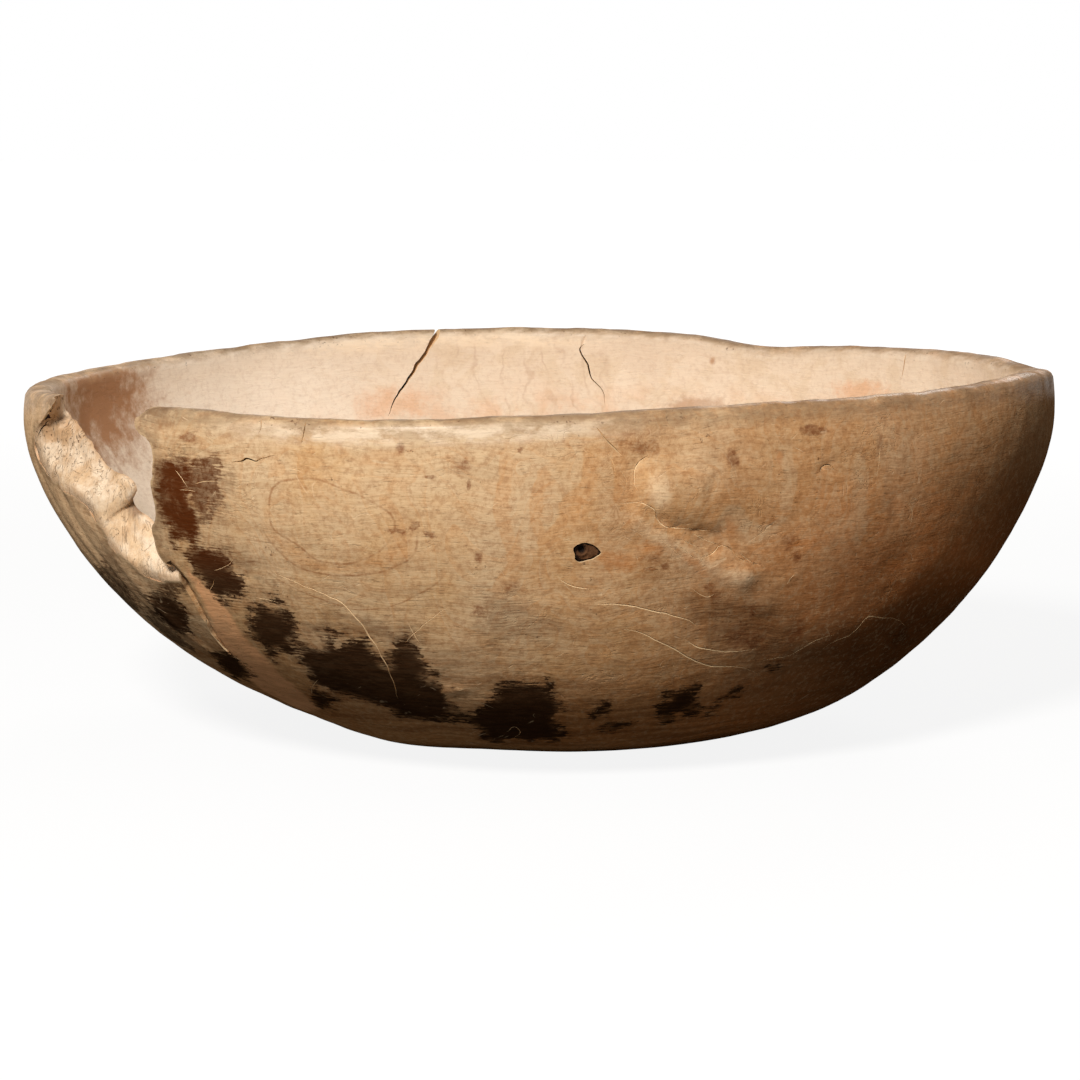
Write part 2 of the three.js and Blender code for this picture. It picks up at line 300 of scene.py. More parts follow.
    def wall(self, side: Side, degrees: np.ndarray, height: np.ndarray) -> np.ndarray:
        """Points of a face as in the solid.

        Args:
            side: which face.
            degrees: angles round the bowl.
            height: heights above the foot.

        Returns:
            One point for each pair, in millimetres.
        """
        degrees, height = np.broadcast_arrays(np.asarray(degrees, float), np.asarray(height, float))
        turn = np.radians(degrees)
        floor = self.floor_of(side)
        climb = np.clip((height - floor) / (self.rim.at(degrees) - floor), 0, 1)
        reach = self.reach(degrees, climb)
        length = self.half_length - (self.end_wall if side is Side.INNER else 0)
        width = self.half_width - (self.side_wall if side is Side.INNER else 0)
        across = np.sign(np.sin(turn)) * np.abs(np.sin(turn)) ** self.plan_power
        x = length * np.cos(turn) * reach + self.foot_shift * (1 - climb) ** self.foot_shift_power
        y = width * across * (1 - self.plan_taper * np.cos(turn)) * reach
        points = np.stack([x, y, height], -1)
        return self.swollen(points) if side is Side.OUTER else points

    def swollen(self, points: np.ndarray) -> np.ndarray:
        """Outer points pushed out by the broad swellings, never below the foot."""
        pushed = points.copy()
        for swelling in self.swellings:
            offset = (points - np.array(swelling.at)) / np.array(swelling.reach)
            lift = swelling.height * np.exp(-(offset ** 2).sum(-1, keepdims=True))
            pushed = pushed + lift * np.array(swelling.push)
        pushed[..., 2] = np.maximum(pushed[..., 2], 0)
        return pushed

    def outward(self, degrees: np.ndarray) -> np.ndarray:
        """Level directions straight out from the middle."""
        turn = np.radians(degrees)
        return np.stack([np.cos(turn), np.sin(turn), np.zeros_like(turn)], -1)

    def axes(self, side: Side, degrees: np.ndarray, height: np.ndarray) -> tuple[np.ndarray, ...]:
        """Directions along, up and out of a face."""
        degrees, height = np.broadcast_arrays(np.asarray(degrees, float), np.asarray(height, float))
        low = np.clip(height - self.probe, self.floor_of(side) + self.probe_gap, None)
        high = np.minimum(low + 2 * self.probe, self.rim.at(degrees) - self.probe_gap)
        low = np.minimum(low, high - 0.5)
        swing = self.probe_angle
        along = unit(self.wall(side, degrees + swing, height) - self.wall(side, degrees - swing, height))
        rise = unit(self.wall(side, degrees, high) - self.wall(side, degrees, low))
        out = unit(np.cross(along, rise))
        out = out if side is Side.OUTER else -out
        return along, unit(np.cross(out, along)), out

    @cached_property
    def dent_places(self) -> list[tuple[np.ndarray, ...]]:
        """Centre and directions of every dent."""
        found = []
        for dent in self.dents:
            centre = self.wall(Side.OUTER, *dent.at)
            along, rise, out = self.axes(Side.OUTER, *dent.at)
            turn = math.radians(dent.turn)
            found.append((
                centre,
                along * math.cos(turn) + rise * math.sin(turn),
                rise * math.cos(turn) - along * math.sin(turn),
                out,
            ))
        return found

    def hewn(self, waves: tuple[tuple[float, float], ...], points: np.ndarray) -> np.ndarray:
        """The unevenness of heights and sizes given, at each point."""
        return sum(height * self.unevenness.layered(points, size, 2) for height, size in waves)

    def relief(self, points: np.ndarray) -> np.ndarray:
        """How far small dents, creases and unevenness lift the outer face.

        Args:
            points: points of the outer face as in the solid.

        Returns:
            Heights in millimetres.
        """
        lift = self.hewn(self.hewn_outside, points)
        offset = (points - np.array(self.wrinkled_at)) / np.array(self.wrinkled_reach)
        near = np.exp(-(offset ** 2).sum(-1))
        wave = np.abs(self.unevenness.layered(points + 60.0, self.wrinkle_size, 2))
        lift = lift - near * np.maximum(self.wrinkle_width - wave, 0)
        for dent, (centre, along, rise, out) in zip(self.dents, self.dent_places):
            offset = points - centre
            spread = (offset @ along / dent.reach[0]) ** 2 + (offset @ rise / dent.reach[1]) ** 2
            lift = lift + dent.height * np.exp(-spread - (offset @ out / self.dent_depth) ** 2)
        for crease in self.creases:
            path = self.wall(Side.OUTER, *np.array(crease.path).T)
            lift = lift + crease.height * np.exp(-(distance_to(path, points) / crease.width) ** 2)
        return lift * ease(points[..., 2], *self.plain_foot)

    def skin(self, side: Side, degrees: np.ndarray, height: np.ndarray) -> np.ndarray:
        """Points of a face with all its relief."""
        points = self.wall(side, degrees, height)
        out = self.axes(side, degrees, height)[2]
        lift = self.relief(points) if side is Side.OUTER else self.hewn(self.hewn_inside, points + 500.0)
        lifted = points + out * lift[..., None]
        lifted[..., 2] = np.maximum(lifted[..., 2], 0)
        return lifted


def gap_to(start: np.ndarray, end: np.ndarray, points: np.ndarray, spare: float = 0.0) -> np.ndarray:
    """Distance of each point from the straight run between two others."""
    run, offset = end - start, points - start
    share = np.clip(offset @ run / (run @ run + spare), 0, 1)
    return np.linalg.norm(offset - share[:, None] * run, axis=-1)


def distance_to(path: np.ndarray, points: np.ndarray) -> np.ndarray:
    """Distance of each point from a path of straight runs."""
    nearest = np.full(points.shape[:-1], 1e9)
    close = (np.abs(points - path.mean(0)) < np.ptp(path, axis=0) / 2 + 40).all(-1)
    picked = points[close]
    found = np.full(len(picked), 1e9)
    for start, end in zip(path[:-1], path[1:]):
        found = np.minimum(found, gap_to(start, end, picked))
    nearest[close] = found
    return nearest


def smooth_path(points: np.ndarray, steps: int, closed: bool = False) -> np.ndarray:
    """Points of a smooth curve through the given ones.

    Args:
        points: the points to go through, one a row.
        steps: points from each to the next.
        closed: whether the curve ends where it starts.

    Returns:
        The points of the curve.
    """
    count = len(points)
    runs = count if closed else count - 1
    where = np.arange(runs * steps + (0 if closed else 1)) / steps
    index = np.minimum(where.astype(int), runs - 1)
    share = (where - index)[:, None]

    def pick(step: int) -> np.ndarray:
        """The given points this many steps on."""
        place = index + step
        return points[place % count] if closed else points[np.clip(place, 0, count - 1)]

    before, start, end, after = pick(-1), pick(0), pick(1), pick(2)
    return 0.5 * (2 * start + (end - before) * share
                  + (2 * before - 5 * start + 4 * end - after) * share ** 2
                  + (3 * start - before - 3 * end + after) * share ** 3)


@dataclass
class Shell:
    """A closed mesh of rings, with a point at each end."""

    rings: list[np.ndarray]
    first: np.ndarray
    last: np.ndarray
    slot: Wood = Wood.SKIN

    def surface(self) -> tuple[np.ndarray, list[list[int]]]:
        """Points of the shell and its faces, which look outwards."""
        rings = np.array(self.rings)
        levels, around = rings.shape[:2]
        points = np.concatenate([rings.reshape(-1, 3), [self.first, self.last]])
        index = np.arange(levels * around).reshape(levels, around)
        after = np.roll(index, -1, axis=1)
        quads = np.stack([index[:-1], after[:-1], after[1:], index[1:]], -1).reshape(-1, 4)
        bottom = np.stack([np.full(around, levels * around), after[0], index[0]], -1)
        top = np.stack([np.full(around, levels * around + 1), index[-1], after[-1]], -1)
        triangles = np.concatenate([quads[:, :3], quads[:, [0, 2, 3]], bottom, top])
        first, second, third = np.moveaxis(points[triangles] - points.mean(0), 1, 0)
        faces = [*quads.tolist(), *bottom.tolist(), *top.tolist()]
        if (first * np.cross(second, third)).sum() < 0:
            faces = [face[::-1] for face in faces]
        return points, faces

    def apart(self, other: "Shell", gap: float = 1.0) -> bool:
        """Whether the box round this shell stands clear of another's."""
        low, high = np.min(self.rings, axis=(0, 1)) - gap, np.max(self.rings, axis=(0, 1)) + gap
        return bool(((np.min(other.rings, axis=(0, 1)) > high) | (np.max(other.rings, axis=(0, 1)) < low)).any())


def build_solid(name: str, centre: np.ndarray, shells: list[Shell]) -> bpy.types.Object:
    """Makes one mesh object of shells that stand apart.

    Args:
        name: name of the object.
        centre: the point of the form that becomes the origin, in millimetres.
        shells: the shells.

    Returns:
        The object, linked to the scene.
    """
    points, faces, slots = [], [], []
    for shell in shells:
        found, sides = shell.surface()
        faces += [[index + len(points) for index in face] for face in sides]
        points += ((found - centre) / 1000).tolist()
        slots += [shell.slot.value] * len(sides)
    mesh = bpy.data.meshes.new(name)
    mesh.from_pydata(points, [], faces)
    mesh.polygons.foreach_set("material_index", slots)
    mesh.update()
    made = bpy.data.objects.new(name, mesh)
    bpy.context.collection.objects.link(made)
    return made


@dataclass(frozen=True)
class Split:
    """A crack, split or scored line in the outer face, through angles and heights.

    A path that runs to the right has its first side above it.
    """

    path: Path
    first: float = 0.5
    second: float = 0.7
    depth: float = 1.0
    rise: float = 1.6
    lean: float = 0.5
    open_start: bool = False
    tail: float = 0.35
    wander: float = 0.35
    side: Side = Side.OUTER
    through: bool = False
    slot: Wood = Wood.CRACK

    FIRST_SHARE = 0.25
    THINNEST = 0.03
    UNEVEN = 0.35
    SECTION = ((1, 0), (0.9, 1), (-0.9, 1), (-1, 0), (-0.55, -0.5), (0, -1), (0.55, -0.5))
    SLOT = ((1, 0), (0.9, 1), (-0.9, 1), (-1, 0), (-0.8, -0.6), (-0.5, -1), (0.5, -1), (0.8, -0.6))

    def shell(self, form: BowlForm) -> Shell:
        """The wood that the split takes away.

        Args:
            form: the bowl that it lies on.

        Returns:
            A closed shell along the path.
        """
        where = smooth_path(np.array(self.path, float), 10)
        onto = form.skin(self.side, where[:, 0], where[:, 1])
        along = unit(np.gradient(onto, axis=0))
        out = form.axes(self.side, where[:, 0], where[:, 1])[2]
        side = unit(np.cross(out, along))
        up = unit(np.cross(along, side))
        run = np.linspace(0, 1, len(onto))
        opening = np.ones_like(run) if self.open_start else np.minimum(run / self.FIRST_SHARE, 1) ** 0.7
        swell = np.maximum(opening * np.minimum((1 - run) / self.tail, 1) ** 0.8, self.THINNEST)
        uneven = form.unevenness.layered(onto + 91.0, 9.0, 2)
        onto = onto + side * (self.wander * form.unevenness.layered(onto + 17.0, 7.0, 2))[:, None]
        swell = swell * (1 + self.UNEVEN * uneven)
        rings = []
        for across, rise in self.SLOT if self.through else self.SECTION:
            width = across * (self.first if across > 0 else self.second)
            width = width + (self.lean * (self.first + self.second) / 2 if rise < 0 else 0) * -rise
            height = rise * (self.rise if rise > 0 else self.depth)
            lift = np.sqrt(swell) if rise < 0 else np.ones_like(swell)
            rings.append(onto + side * (width * swell)[:, None] + up * (height * lift)[:, None])
        stacked = np.stack(rings, 1)
        return Shell(list(stacked), onto[0] - along[0] * 0.2, onto[-1] + along[-1] * 0.2, self.slot)


@dataclass(frozen=True)
class BrokenWall:
    """The wood missing at the front left, between two matching outlines."""

    outer: Path = trace(
        225.5, 185, 225, 163.8, 223.6, 159, 224.1, 153.8, 226.6, 145, 225.9, 132, 225.3, 119.5, 223.7, 110,
        223.6, 98, 225, 91, 220.7, 90.6, 216.7, 92.9, 215, 99, 213.8, 107, 213.6, 110.8, 213.2, 114.5, 212.7, 118,
        211.7, 120.8, 208.5, 124.5, 204.5, 126.5, 201.5, 131.5, 199, 137, 200.5, 146.7, 205.5, 158.4, 207.5, 185,
    )
    inner: Path = trace(
        230, 185, 230, 163, 228.5, 158, 229, 152, 231.5, 144, 231, 131, 230.3, 119, 229, 108, 227, 103, 223, 104.5,
        219.5, 109.5, 217.4, 113.5, 215.9, 116.5, 215.7, 119.4, 216.6, 122, 217.5, 125.5, 217.4, 129, 216, 131.8,
        213.4, 133, 211.3, 136, 209.3, 142, 207, 147.5, 204, 152, 199.5, 158, 197.5, 185,
    )
    steps: int = 16
    layers: int = 18
    overrun: float = 0.14
    clear_out: float = 30.0
    clear_in: float = 45.0
    worn_edge: float = 1.0

    def shell(self, form: BowlForm) -> Shell:
        """The wood that broke out, with the torn surface that it leaves.

        Args:
            form: the bowl that it broke from.

        Returns:
            A closed shell through the wall.
        """
        outline = smooth_path(np.array(self.outer, float), self.steps, closed=True)
        inline = smooth_path(np.array(self.inner, float), self.steps, closed=True)
        start = form.wall(Side.OUTER, *outline.T)
        end = form.wall(Side.INNER, *inline.T)
        through = end - start
        rings = [start + form.outward(outline[:, 0]) * self.clear_out]
        for share in np.linspace(-self.overrun, 1 + self.overrun, self.layers):
            ring = start + through * share
            tangent = np.roll(ring, -1, axis=0) - np.roll(ring, 1, axis=0)
            away = unit(np.cross(tangent, through))
            away *= np.sign((away * (ring - ring.mean(0))).sum())
            edge = max(abs(2 * share - 1) - 0.7, 0) / 0.3
            rings.append(ring + away * (self.worn_edge * edge ** 2 + self.torn(form, ring))[:, None])
        rings.append(end - form.outward(inline[:, 0]) * self.clear_in)
        return Shell(rings, rings[0].mean(0), rings[-1].mean(0), Wood.TORN)

    def torn(self, form: BowlForm, ring: np.ndarray) -> np.ndarray:
        """How far the torn surface stands in or out."""
        noise = form.unevenness
        rough = 0.25 + 0.75 * ease(ring[:, 2], 122, 146)
        fibres = noise.layered(ring * np.array([1.0, 1.0, 0.35]) + 210.0, 5.0, 3)
        pits = np.maximum(noise.at(ring + 320.0, 3.2) - 0.25, 0)
        lumps = noise.layered(ring + 80.0, 13.0, 2)
        high = ease(ring[:, 2], 134, 150) * noise.layered(ring * np.array([1.0, 1.0, 0.6]) + 30.0, 7.0, 2)
        return rough * (0.7 * fibres + 1.8 * pits) + 1.1 * lumps + 1.2 * high


@dataclass(frozen=True)
class Knot:
    """The dead knot in the front wall and the socket that it sits in."""

    angle: float = 273.9
    height: float = 110.2
    outline: Path = trace(
        5.3, -0.4, 2.6, 2.5, -1.6, 3.8, -5.4, 2, -4.8, -1, -4.7, -2.8, -2.9, -4.1, 0.5, -3.2, 2, -2.9, 3.7, -1.9,
    )
    depth: float = 9.0
    taper: float = 0.62
    sunk: float = 0.9
    rounding: float = 0.7
    pit_at: tuple[float, float] = (-2.5, 1.0)
    pit_reach: float = 1.5
    pit_depth: float = 2.4
    gap: float = 0.4
    mouth: float = 8.0
    flare: float = 1.25

    def plug(self, form: BowlForm, rings: list[tuple[float, float]], gap: float, face: bool) -> Shell:
        """A plug in the wall at the knot.

        Args:
            form: the bowl that it sits in.
            rings: shares of the outline with heights above the wall.
            gap: how far it stands outside the outline.
            face: whether the first rings have the knot's pit and cracks.

        Returns:
            A closed shell.
        """
        centre = form.skin(Side.OUTER, self.angle, self.height)
        along, rise, out = form.axes(Side.OUTER, self.angle, self.height)
        outline = smooth_path(np.array(self.outline), 8, closed=True)
        away = np.linalg.norm(outline, axis=1, keepdims=True)
        made = []
        for share, height in rings:
            flat = outline * share
            flat = flat * (1 + gap / np.maximum(away * share, 0.5))
            level = np.full(len(flat), height)
            if face and share < 1:
                near = np.linalg.norm(flat - np.array(self.pit_at), axis=1) / self.pit_reach
                level = level - self.pit_depth * np.exp(-near ** 2) + 0.5 * np.exp(-((near - 1.7) / 0.5) ** 2)
            lifted = centre + flat[:, :1] * along + flat[:, 1:] * rise + level[:, None] * out
            if face and share < 1:
                lifted = lifted + out * (0.35 * form.unevenness.layered(lifted + 40.0, 2.6, 2))[:, None]
            made.append(lifted)
        return Shell(made, made[0].mean(0), made[-1].mean(0), Wood.SKIN if face else Wood.CRACK)

    def stub(self, form: BowlForm) -> Shell:
        """The tapered stub, its face sunk and pitted."""
        face = [(share, -self.sunk) for share in np.linspace(0.08, 0.95, 12)]
        back = [(1.0, -self.sunk - self.rounding), (self.taper, -self.sunk - self.depth)]
        return self.plug(form, face + back, 0, True)

    def socket(self, form: BowlForm) -> Shell:
        """The hole that the stub sits in, flared at its mouth."""
        throat = -self.sunk - self.rounding
        end = throat + self.rounding - self.depth - self.gap
        return self.plug(form, [(self.flare, self.mouth), (1, 0), (1, throat), (self.taper, end)], self.gap, False)


class Value:
    """A value, place or colour in a node tree. Arithmetic on it adds the nodes."""

    def __init__(self, net: "Net", socket: bpy.types.NodeSocket) -> None:
        """Holds the socket and the net that it is in."""
        self.net, self.socket = net, socket

    def __add__(self, other: object) -> "Value":
        """The sum."""
        return self.net.math("ADD", self, other)

    def __sub__(self, other: object) -> "Value":
        """The difference."""
        return self.net.math("SUBTRACT", self, other)

    def __rsub__(self, other: object) -> "Value":
        """The difference from a number."""
        return self.net.math("SUBTRACT", other, self)

    def __mul__(self, other: object) -> "Value":
        """The product."""
        return self.net.math("MULTIPLY", self, other)

    def __truediv__(self, other: object) -> "Value":
        """The quotient."""
        return self.net.math("DIVIDE", self, other)

    def __or__(self, other: object) -> "Value":
        """The larger of the two."""
        return self.net.math("MAXIMUM", self, other)

    def __abs__(self) -> "Value":
        """The value without its sign."""
        return self.net.math("ABSOLUTE", self)

    def length(self) -> "Value":
        """The length of a vector."""
        return self.net.math("LENGTH", self)

    def folded(self) -> "Value":
        """Back and forth between 0 and a half."""
        return self.net.math("PINGPONG", self, 0.5)

    def step(self, low: object, high: object, start: float = 0.0, end: float = 1.0) -> "Value":
        """Smooth step from low to high, giving start to end."""
        made = self.net.node("MapRange", {"interpolation_type": "SMOOTHSTEP"}, Value=self, From_Min=low,
                             From_Max=high, To_Min=start, To_Max=end)
        return Value(self.net, made.outputs["Result"])


class Net:
    """A node tree while it is wired."""

    def __init__(self, tree: bpy.types.NodeTree) -> None:
        """Empties the tree and holds it."""
        tree.nodes.clear()
        self.tree = tree

    def node(self, kind: str, settings: dict | None = None, **values: object) -> bpy.types.Node:
        """Adds a node."""
        made = self.tree.nodes.new(kind if kind.startswith("NodeGroup") else "ShaderNode" + kind)
        for name, value in (settings or {}).items():
            setattr(made, name, value)
        for name, value in values.items():
            self.feed(made.inputs[name.replace("_", " ")], value)
        return made

    def feed(self, socket: bpy.types.NodeSocket, value: object) -> None:
        """Links a value to an input, or sets the input."""
        if isinstance(value, Value):
            self.tree.links.new(value.socket, socket)
        else:
            socket.default_value = value

    def out(self, kind: str, settings: dict | None = None, **values: object) -> Value:
        """Adds a node and gives its first output."""
        return Value(self, self.node(kind, settings, **values).outputs[0])

    def math(self, operation: str, *values: object) -> Value:
        """Adds a Math node, or a Vector Math node for places."""
        place = any(isinstance(v, Value) and v.socket.type == "VECTOR" for v in values)
        made = self.node("VectorMath" if place else "Math", {"operation": operation})
        for socket, value in zip(made.inputs, values):
            self.feed(socket, value)
        return Value(self, made.outputs["Value" if operation == "LENGTH" else 0])

    def noise(self, place: Value, size: float, detail: float = 3.0, rough: float = 0.55,
              warp: float = 0.0) -> Value:
        """Adds noise, about 0.5 in the middle."""
        return self.out("TexNoise", None, Vector=place, Scale=1.0 / size, Detail=detail,
                        Roughness=rough, Distortion=warp)

    def mix(self, share: object, first: object, second: object, blend: str = "MIX") -> Value:
        """Mixes two colours."""
        made = self.node("Mix", {"data_type": "RGBA", "blend_type": blend, "clamp_factor": True})
        for index, value in ((0, share), (6, first), (7, second)):
            self.feed(made.inputs[index], value)
        return Value(self, made.outputs[2])

    def group(self, tree: bpy.types.NodeTree, **values: object) -> SimpleNamespace:
        """Adds a node group and gives its outputs by name."""
        made = self.node("Group", {"node_tree": tree}, **values)
        return SimpleNamespace(**{socket.name.lower(): Value(self, socket) for socket in made.outputs})


class Paint:
    """A colour that is built up in layers."""

    def __init__(self, net: Net, share: object, first: object, second: object) -> None:
        """Starts with a mix of two colours."""
        self.net = net
        self.colour = net.mix(share, first, second)

    def over(self, share: object, colour: object, blend: str = "MIX") -> None:
        """Lays a colour over what is there."""
        self.colour = self.net.mix(share, self.colour, colour, blend)


class Group:
    """A shader node group while it is wired."""

    def __init__(self, name: str, floats: str, outputs: str) -> None:
        """Makes the group.

        Args:
            name: the group's name.
            floats: names of its value inputs, which follow its vector input Place.
            outputs: names of its outputs.
        """
        self.tree = bpy.data.node_groups.new(name, "ShaderNodeTree")
        self.net = Net(self.tree)
        kinds = [(socket, "INPUT", "Vector" if socket in ("Place", "Centre", "Reach") else "Float")
                 for socket in ("Place " + floats).split()]
        for socket, way, kind in (*kinds, *((socket, "OUTPUT", "Float") for socket in outputs.split())):
            self.tree.interface.new_socket(socket, in_out=way, socket_type="NodeSocket" + kind)
        self.result = self.net.node("NodeGroupOutput").inputs
        given = self.net.node("NodeGroupInput").outputs
        self.given = {socket.name: Value(self.net, socket) for socket in given if socket.name}
        self.place = self.given["Place"]

    def noise(self, *settings: float, stretch: tuple[float, ...] = (), shift: tuple[float, ...] = ()) -> Value:
        """Noise of the places, shifted or stretched along each axis."""
        place = self.place + shift if shift else self.place
        return self.net.noise(place * stretch if stretch else place, *settings)

    def give(self, name: str, value: Value) -> None:
        """Feeds an output."""
        self.net.feed(self.result[name], value)


class Effects:
    """Node groups that the bowl's finishes share."""

    def __init__(self) -> None:
        """Builds every group once."""
        self.blotch = self.build_blotch()
        self.grain = self.build_grain()
        self.mottle = self.build_mottle()
        self.specks = self.build_specks()
        self.scratches = self.build_scratches()
        self.edge = self.build_edge()

    def build_blotch(self) -> bpy.types.NodeTree:
        """A stain with a ragged edge: 1 inside its oval, 0 outside."""
        group = Group("Blotch", "Centre Reach Turn Ragged Raggedness Softness", "Mask")
        given = group.given
        turned = group.net.out("VectorRotate", {"rotation_type": "Y_AXIS"},
                               Vector=group.place - given["Centre"], Angle=given["Turn"])
        edge = given["Ragged"] * given["Raggedness"] + (turned / given["Reach"]).length()
        group.give("Mask", edge.step(given["Softness"] + 1, 1 - given["Softness"]))
        return group.tree

    def build_grain(self) -> bpy.types.NodeTree:
        """Level grain: broad streaks, fine fibres and open pores."""
        group = Group("Grain", "Waviness", "Streaks Fibres Pores")
        lifted = (group.noise(55, 2) - 0.5) * group.given["Waviness"]
        group.place = group.place + group.net.out("CombineXYZ", Z=lifted)
        group.give("Streaks", group.noise(3.4, 4, 0.6, stretch=(0.05, 0.05, 1)))
        group.give("Fibres", group.noise(0.9, 3, 0.65, stretch=(0.07, 0.07, 1)))
        group.give("Pores", group.noise(0.8, 2, 0.5, stretch=(0.16, 0.16, 1)).step(0.63, 0.72))
        return group.tree

    def build_mottle(self) -> bpy.types.NodeTree:
        """Changes of tone: broad, close and fine patches, and growth bands with one sharp edge."""
        group = Group("Mottle", "", "Broad Close Fine Bands")
        group.give("Broad", group.noise(70, 4, 0.6, 0.5).step(0.36, 0.64))
        group.give("Close", group.noise(17, 5, 0.68, 0.7, shift=(90, 40, 70)).step(0.34, 0.66))
        group.give("Fine", group.noise(2.6, 5, 0.75, shift=(10, 60, 30)).step(0.34, 0.68))
        bands = group.noise(46, 2.5, 0.42, 0.9, stretch=(1, 1, 0.75)) * 13
        group.give("Bands", group.net.math("FRACT", bands))
        return group.tree

    def build_specks(self) -> bpy.types.NodeTree:
        """Small ragged spots that stand in loose clusters."""
        group = Group("Specks", "Size Share", "Mask")
        scale = group.net.math("DIVIDE", 1, group.given["Size"])
        spots = group.net.out("TexNoise", Vector=group.place, Scale=scale, Detail=3, Roughness=0.6)
        cluster = (group.noise(24, 3, 0.6) - 0.5) * 0.35 + group.given["Share"]
        group.give("Mask", (spots + cluster).step(0.72, 0.77))
        return group.tree

    def build_scratches(self) -> bpy.types.NodeTree:
        """Hairlines: fine curved ones and a few straight ones."""
        group = Group("Scratches", "", "Curved Straight")
        places, curved, straight = group.place, [], []
        for size, shift in ((34, 0), (21, 70)):
            group.place = places + (shift, shift, shift)
            away = abs(group.noise(size, 2, 0.4, 1.3) - 0.5) * size
            curved.append(away.step(0.24, 0.06) * group.noise(9, 2).step(0.62, 0.7))
        for turn, shift in ((0.6, 0), (-0.5, 40)):
            group.place = places + (shift, shift, shift)
            rare = group.noise(15, 2).step(0.62, 0.72)
            group.place = group.net.out("VectorRotate", {"rotation_type": "Y_AXIS"}, Vector=group.place, Angle=turn)
            lines = group.noise(0.8, 1, 0.4, stretch=(0.045, 0.06, 1)).step(0.68, 0.72)
            straight.append(lines * rare)
        group.give("Curved", curved[0] | curved[1])
        group.give("Straight", straight[0] | straight[1])
        return group.tree

    def build_edge(self) -> bpy.types.NodeTree:
        """How far a stain's edge strays, in millimetres: lobes, rags and level streaks."""
        group = Group("Stray edge", "", "Stray")
        lobes = (group.noise(10, 4, 0.65, stretch=(0.8, 0.8, 1)) - 0.5) * 15
        rags = (group.noise(3.6, 4, 0.65, stretch=(0.6, 0.6, 1)) - 0.5) * 12
        streaks = (group.noise(0.9, 4, 0.65, stretch=(0.07, 0.07, 1)) - 0.5) * 13
        group.give("Stray", lobes + rags + streaks)
        return group.tree


class Surface:
    """A material while it is wired, with what its finish reads."""

    def __init__(self, name: str, effects: Effects | None = None) -> None:
        """Makes the material with a bare Principled shader."""
        self.made = bpy.data.materials.new(name)
        self.made.use_nodes = True
        self.net, self.effects = Net(self.made.node_tree), effects
        self.shader = self.net.node("BsdfPrincipled")
        self.net.node("OutputMaterial", None, Surface=Value(self.net, self.shader.outputs[0]))
        place = Value(self.net, self.net.node("TexCoord").outputs["Object"])
        self.place = place * (1000, 1000, 1000)
        axes = self.net.node("SeparateXYZ", None, Vector=self.place).outputs
        self.along, self.across, self.height = (Value(self.net, axis) for axis in axes)

    @cached_property
    def grain(self) -> SimpleNamespace:
        """Level grain."""
        return self.net.group(self.effects.grain, Place=self.place, Waviness=16)

    @cached_property
    def mottle(self) -> SimpleNamespace:
        """Changes of tone."""
        return self.net.group(self.effects.mottle, Place=self.place)

    def specks(self, size: float, share: object) -> Value:
        """Small spots."""
        return self.net.group(self.effects.specks, Place=self.place, Size=size, Share=share).mask

    def noise(self, *settings: float, stretch: tuple[float, ...] = ()) -> Value:
        """Noise of the places, or of places stretched along each axis."""
        return self.net.noise(self.place * stretch if stretch else self.place, *settings)

    def read(self, name: str) -> Value:
        """A measurement that the mesh carries."""
        return Value(self.net, self.net.node("Attribute", {"attribute_name": name}).outputs["Fac"])

    def near(self, centre: tuple[float, ...], reach: tuple[float, ...]) -> Value:
        """0 at the middle of an oval to 1 at its edge and on."""
        return ((self.place - centre) / reach).length()

    def finish(self, relief: Value | None = None, strength: float = 1, **inputs: object) -> bpy.types.Material:
        """Feeds the shader."""
        if relief is not None:
            inputs["Normal"] = self.net.out("Bump", Height=relief, Distance=0.001, Strength=strength)
        for name, value in inputs.items():
            self.net.feed(self.shader.inputs[name.replace("_", " ")], value)
        return self.made


@dataclass(frozen=True)
class Stain:
    """A small stain on the outer face: its place, size, slope and edge."""

    at: tuple[float, float]
    reach: tuple[float, float]
    turn: float = 0
    ragged: float = 1.4
    soft: float = 0.4


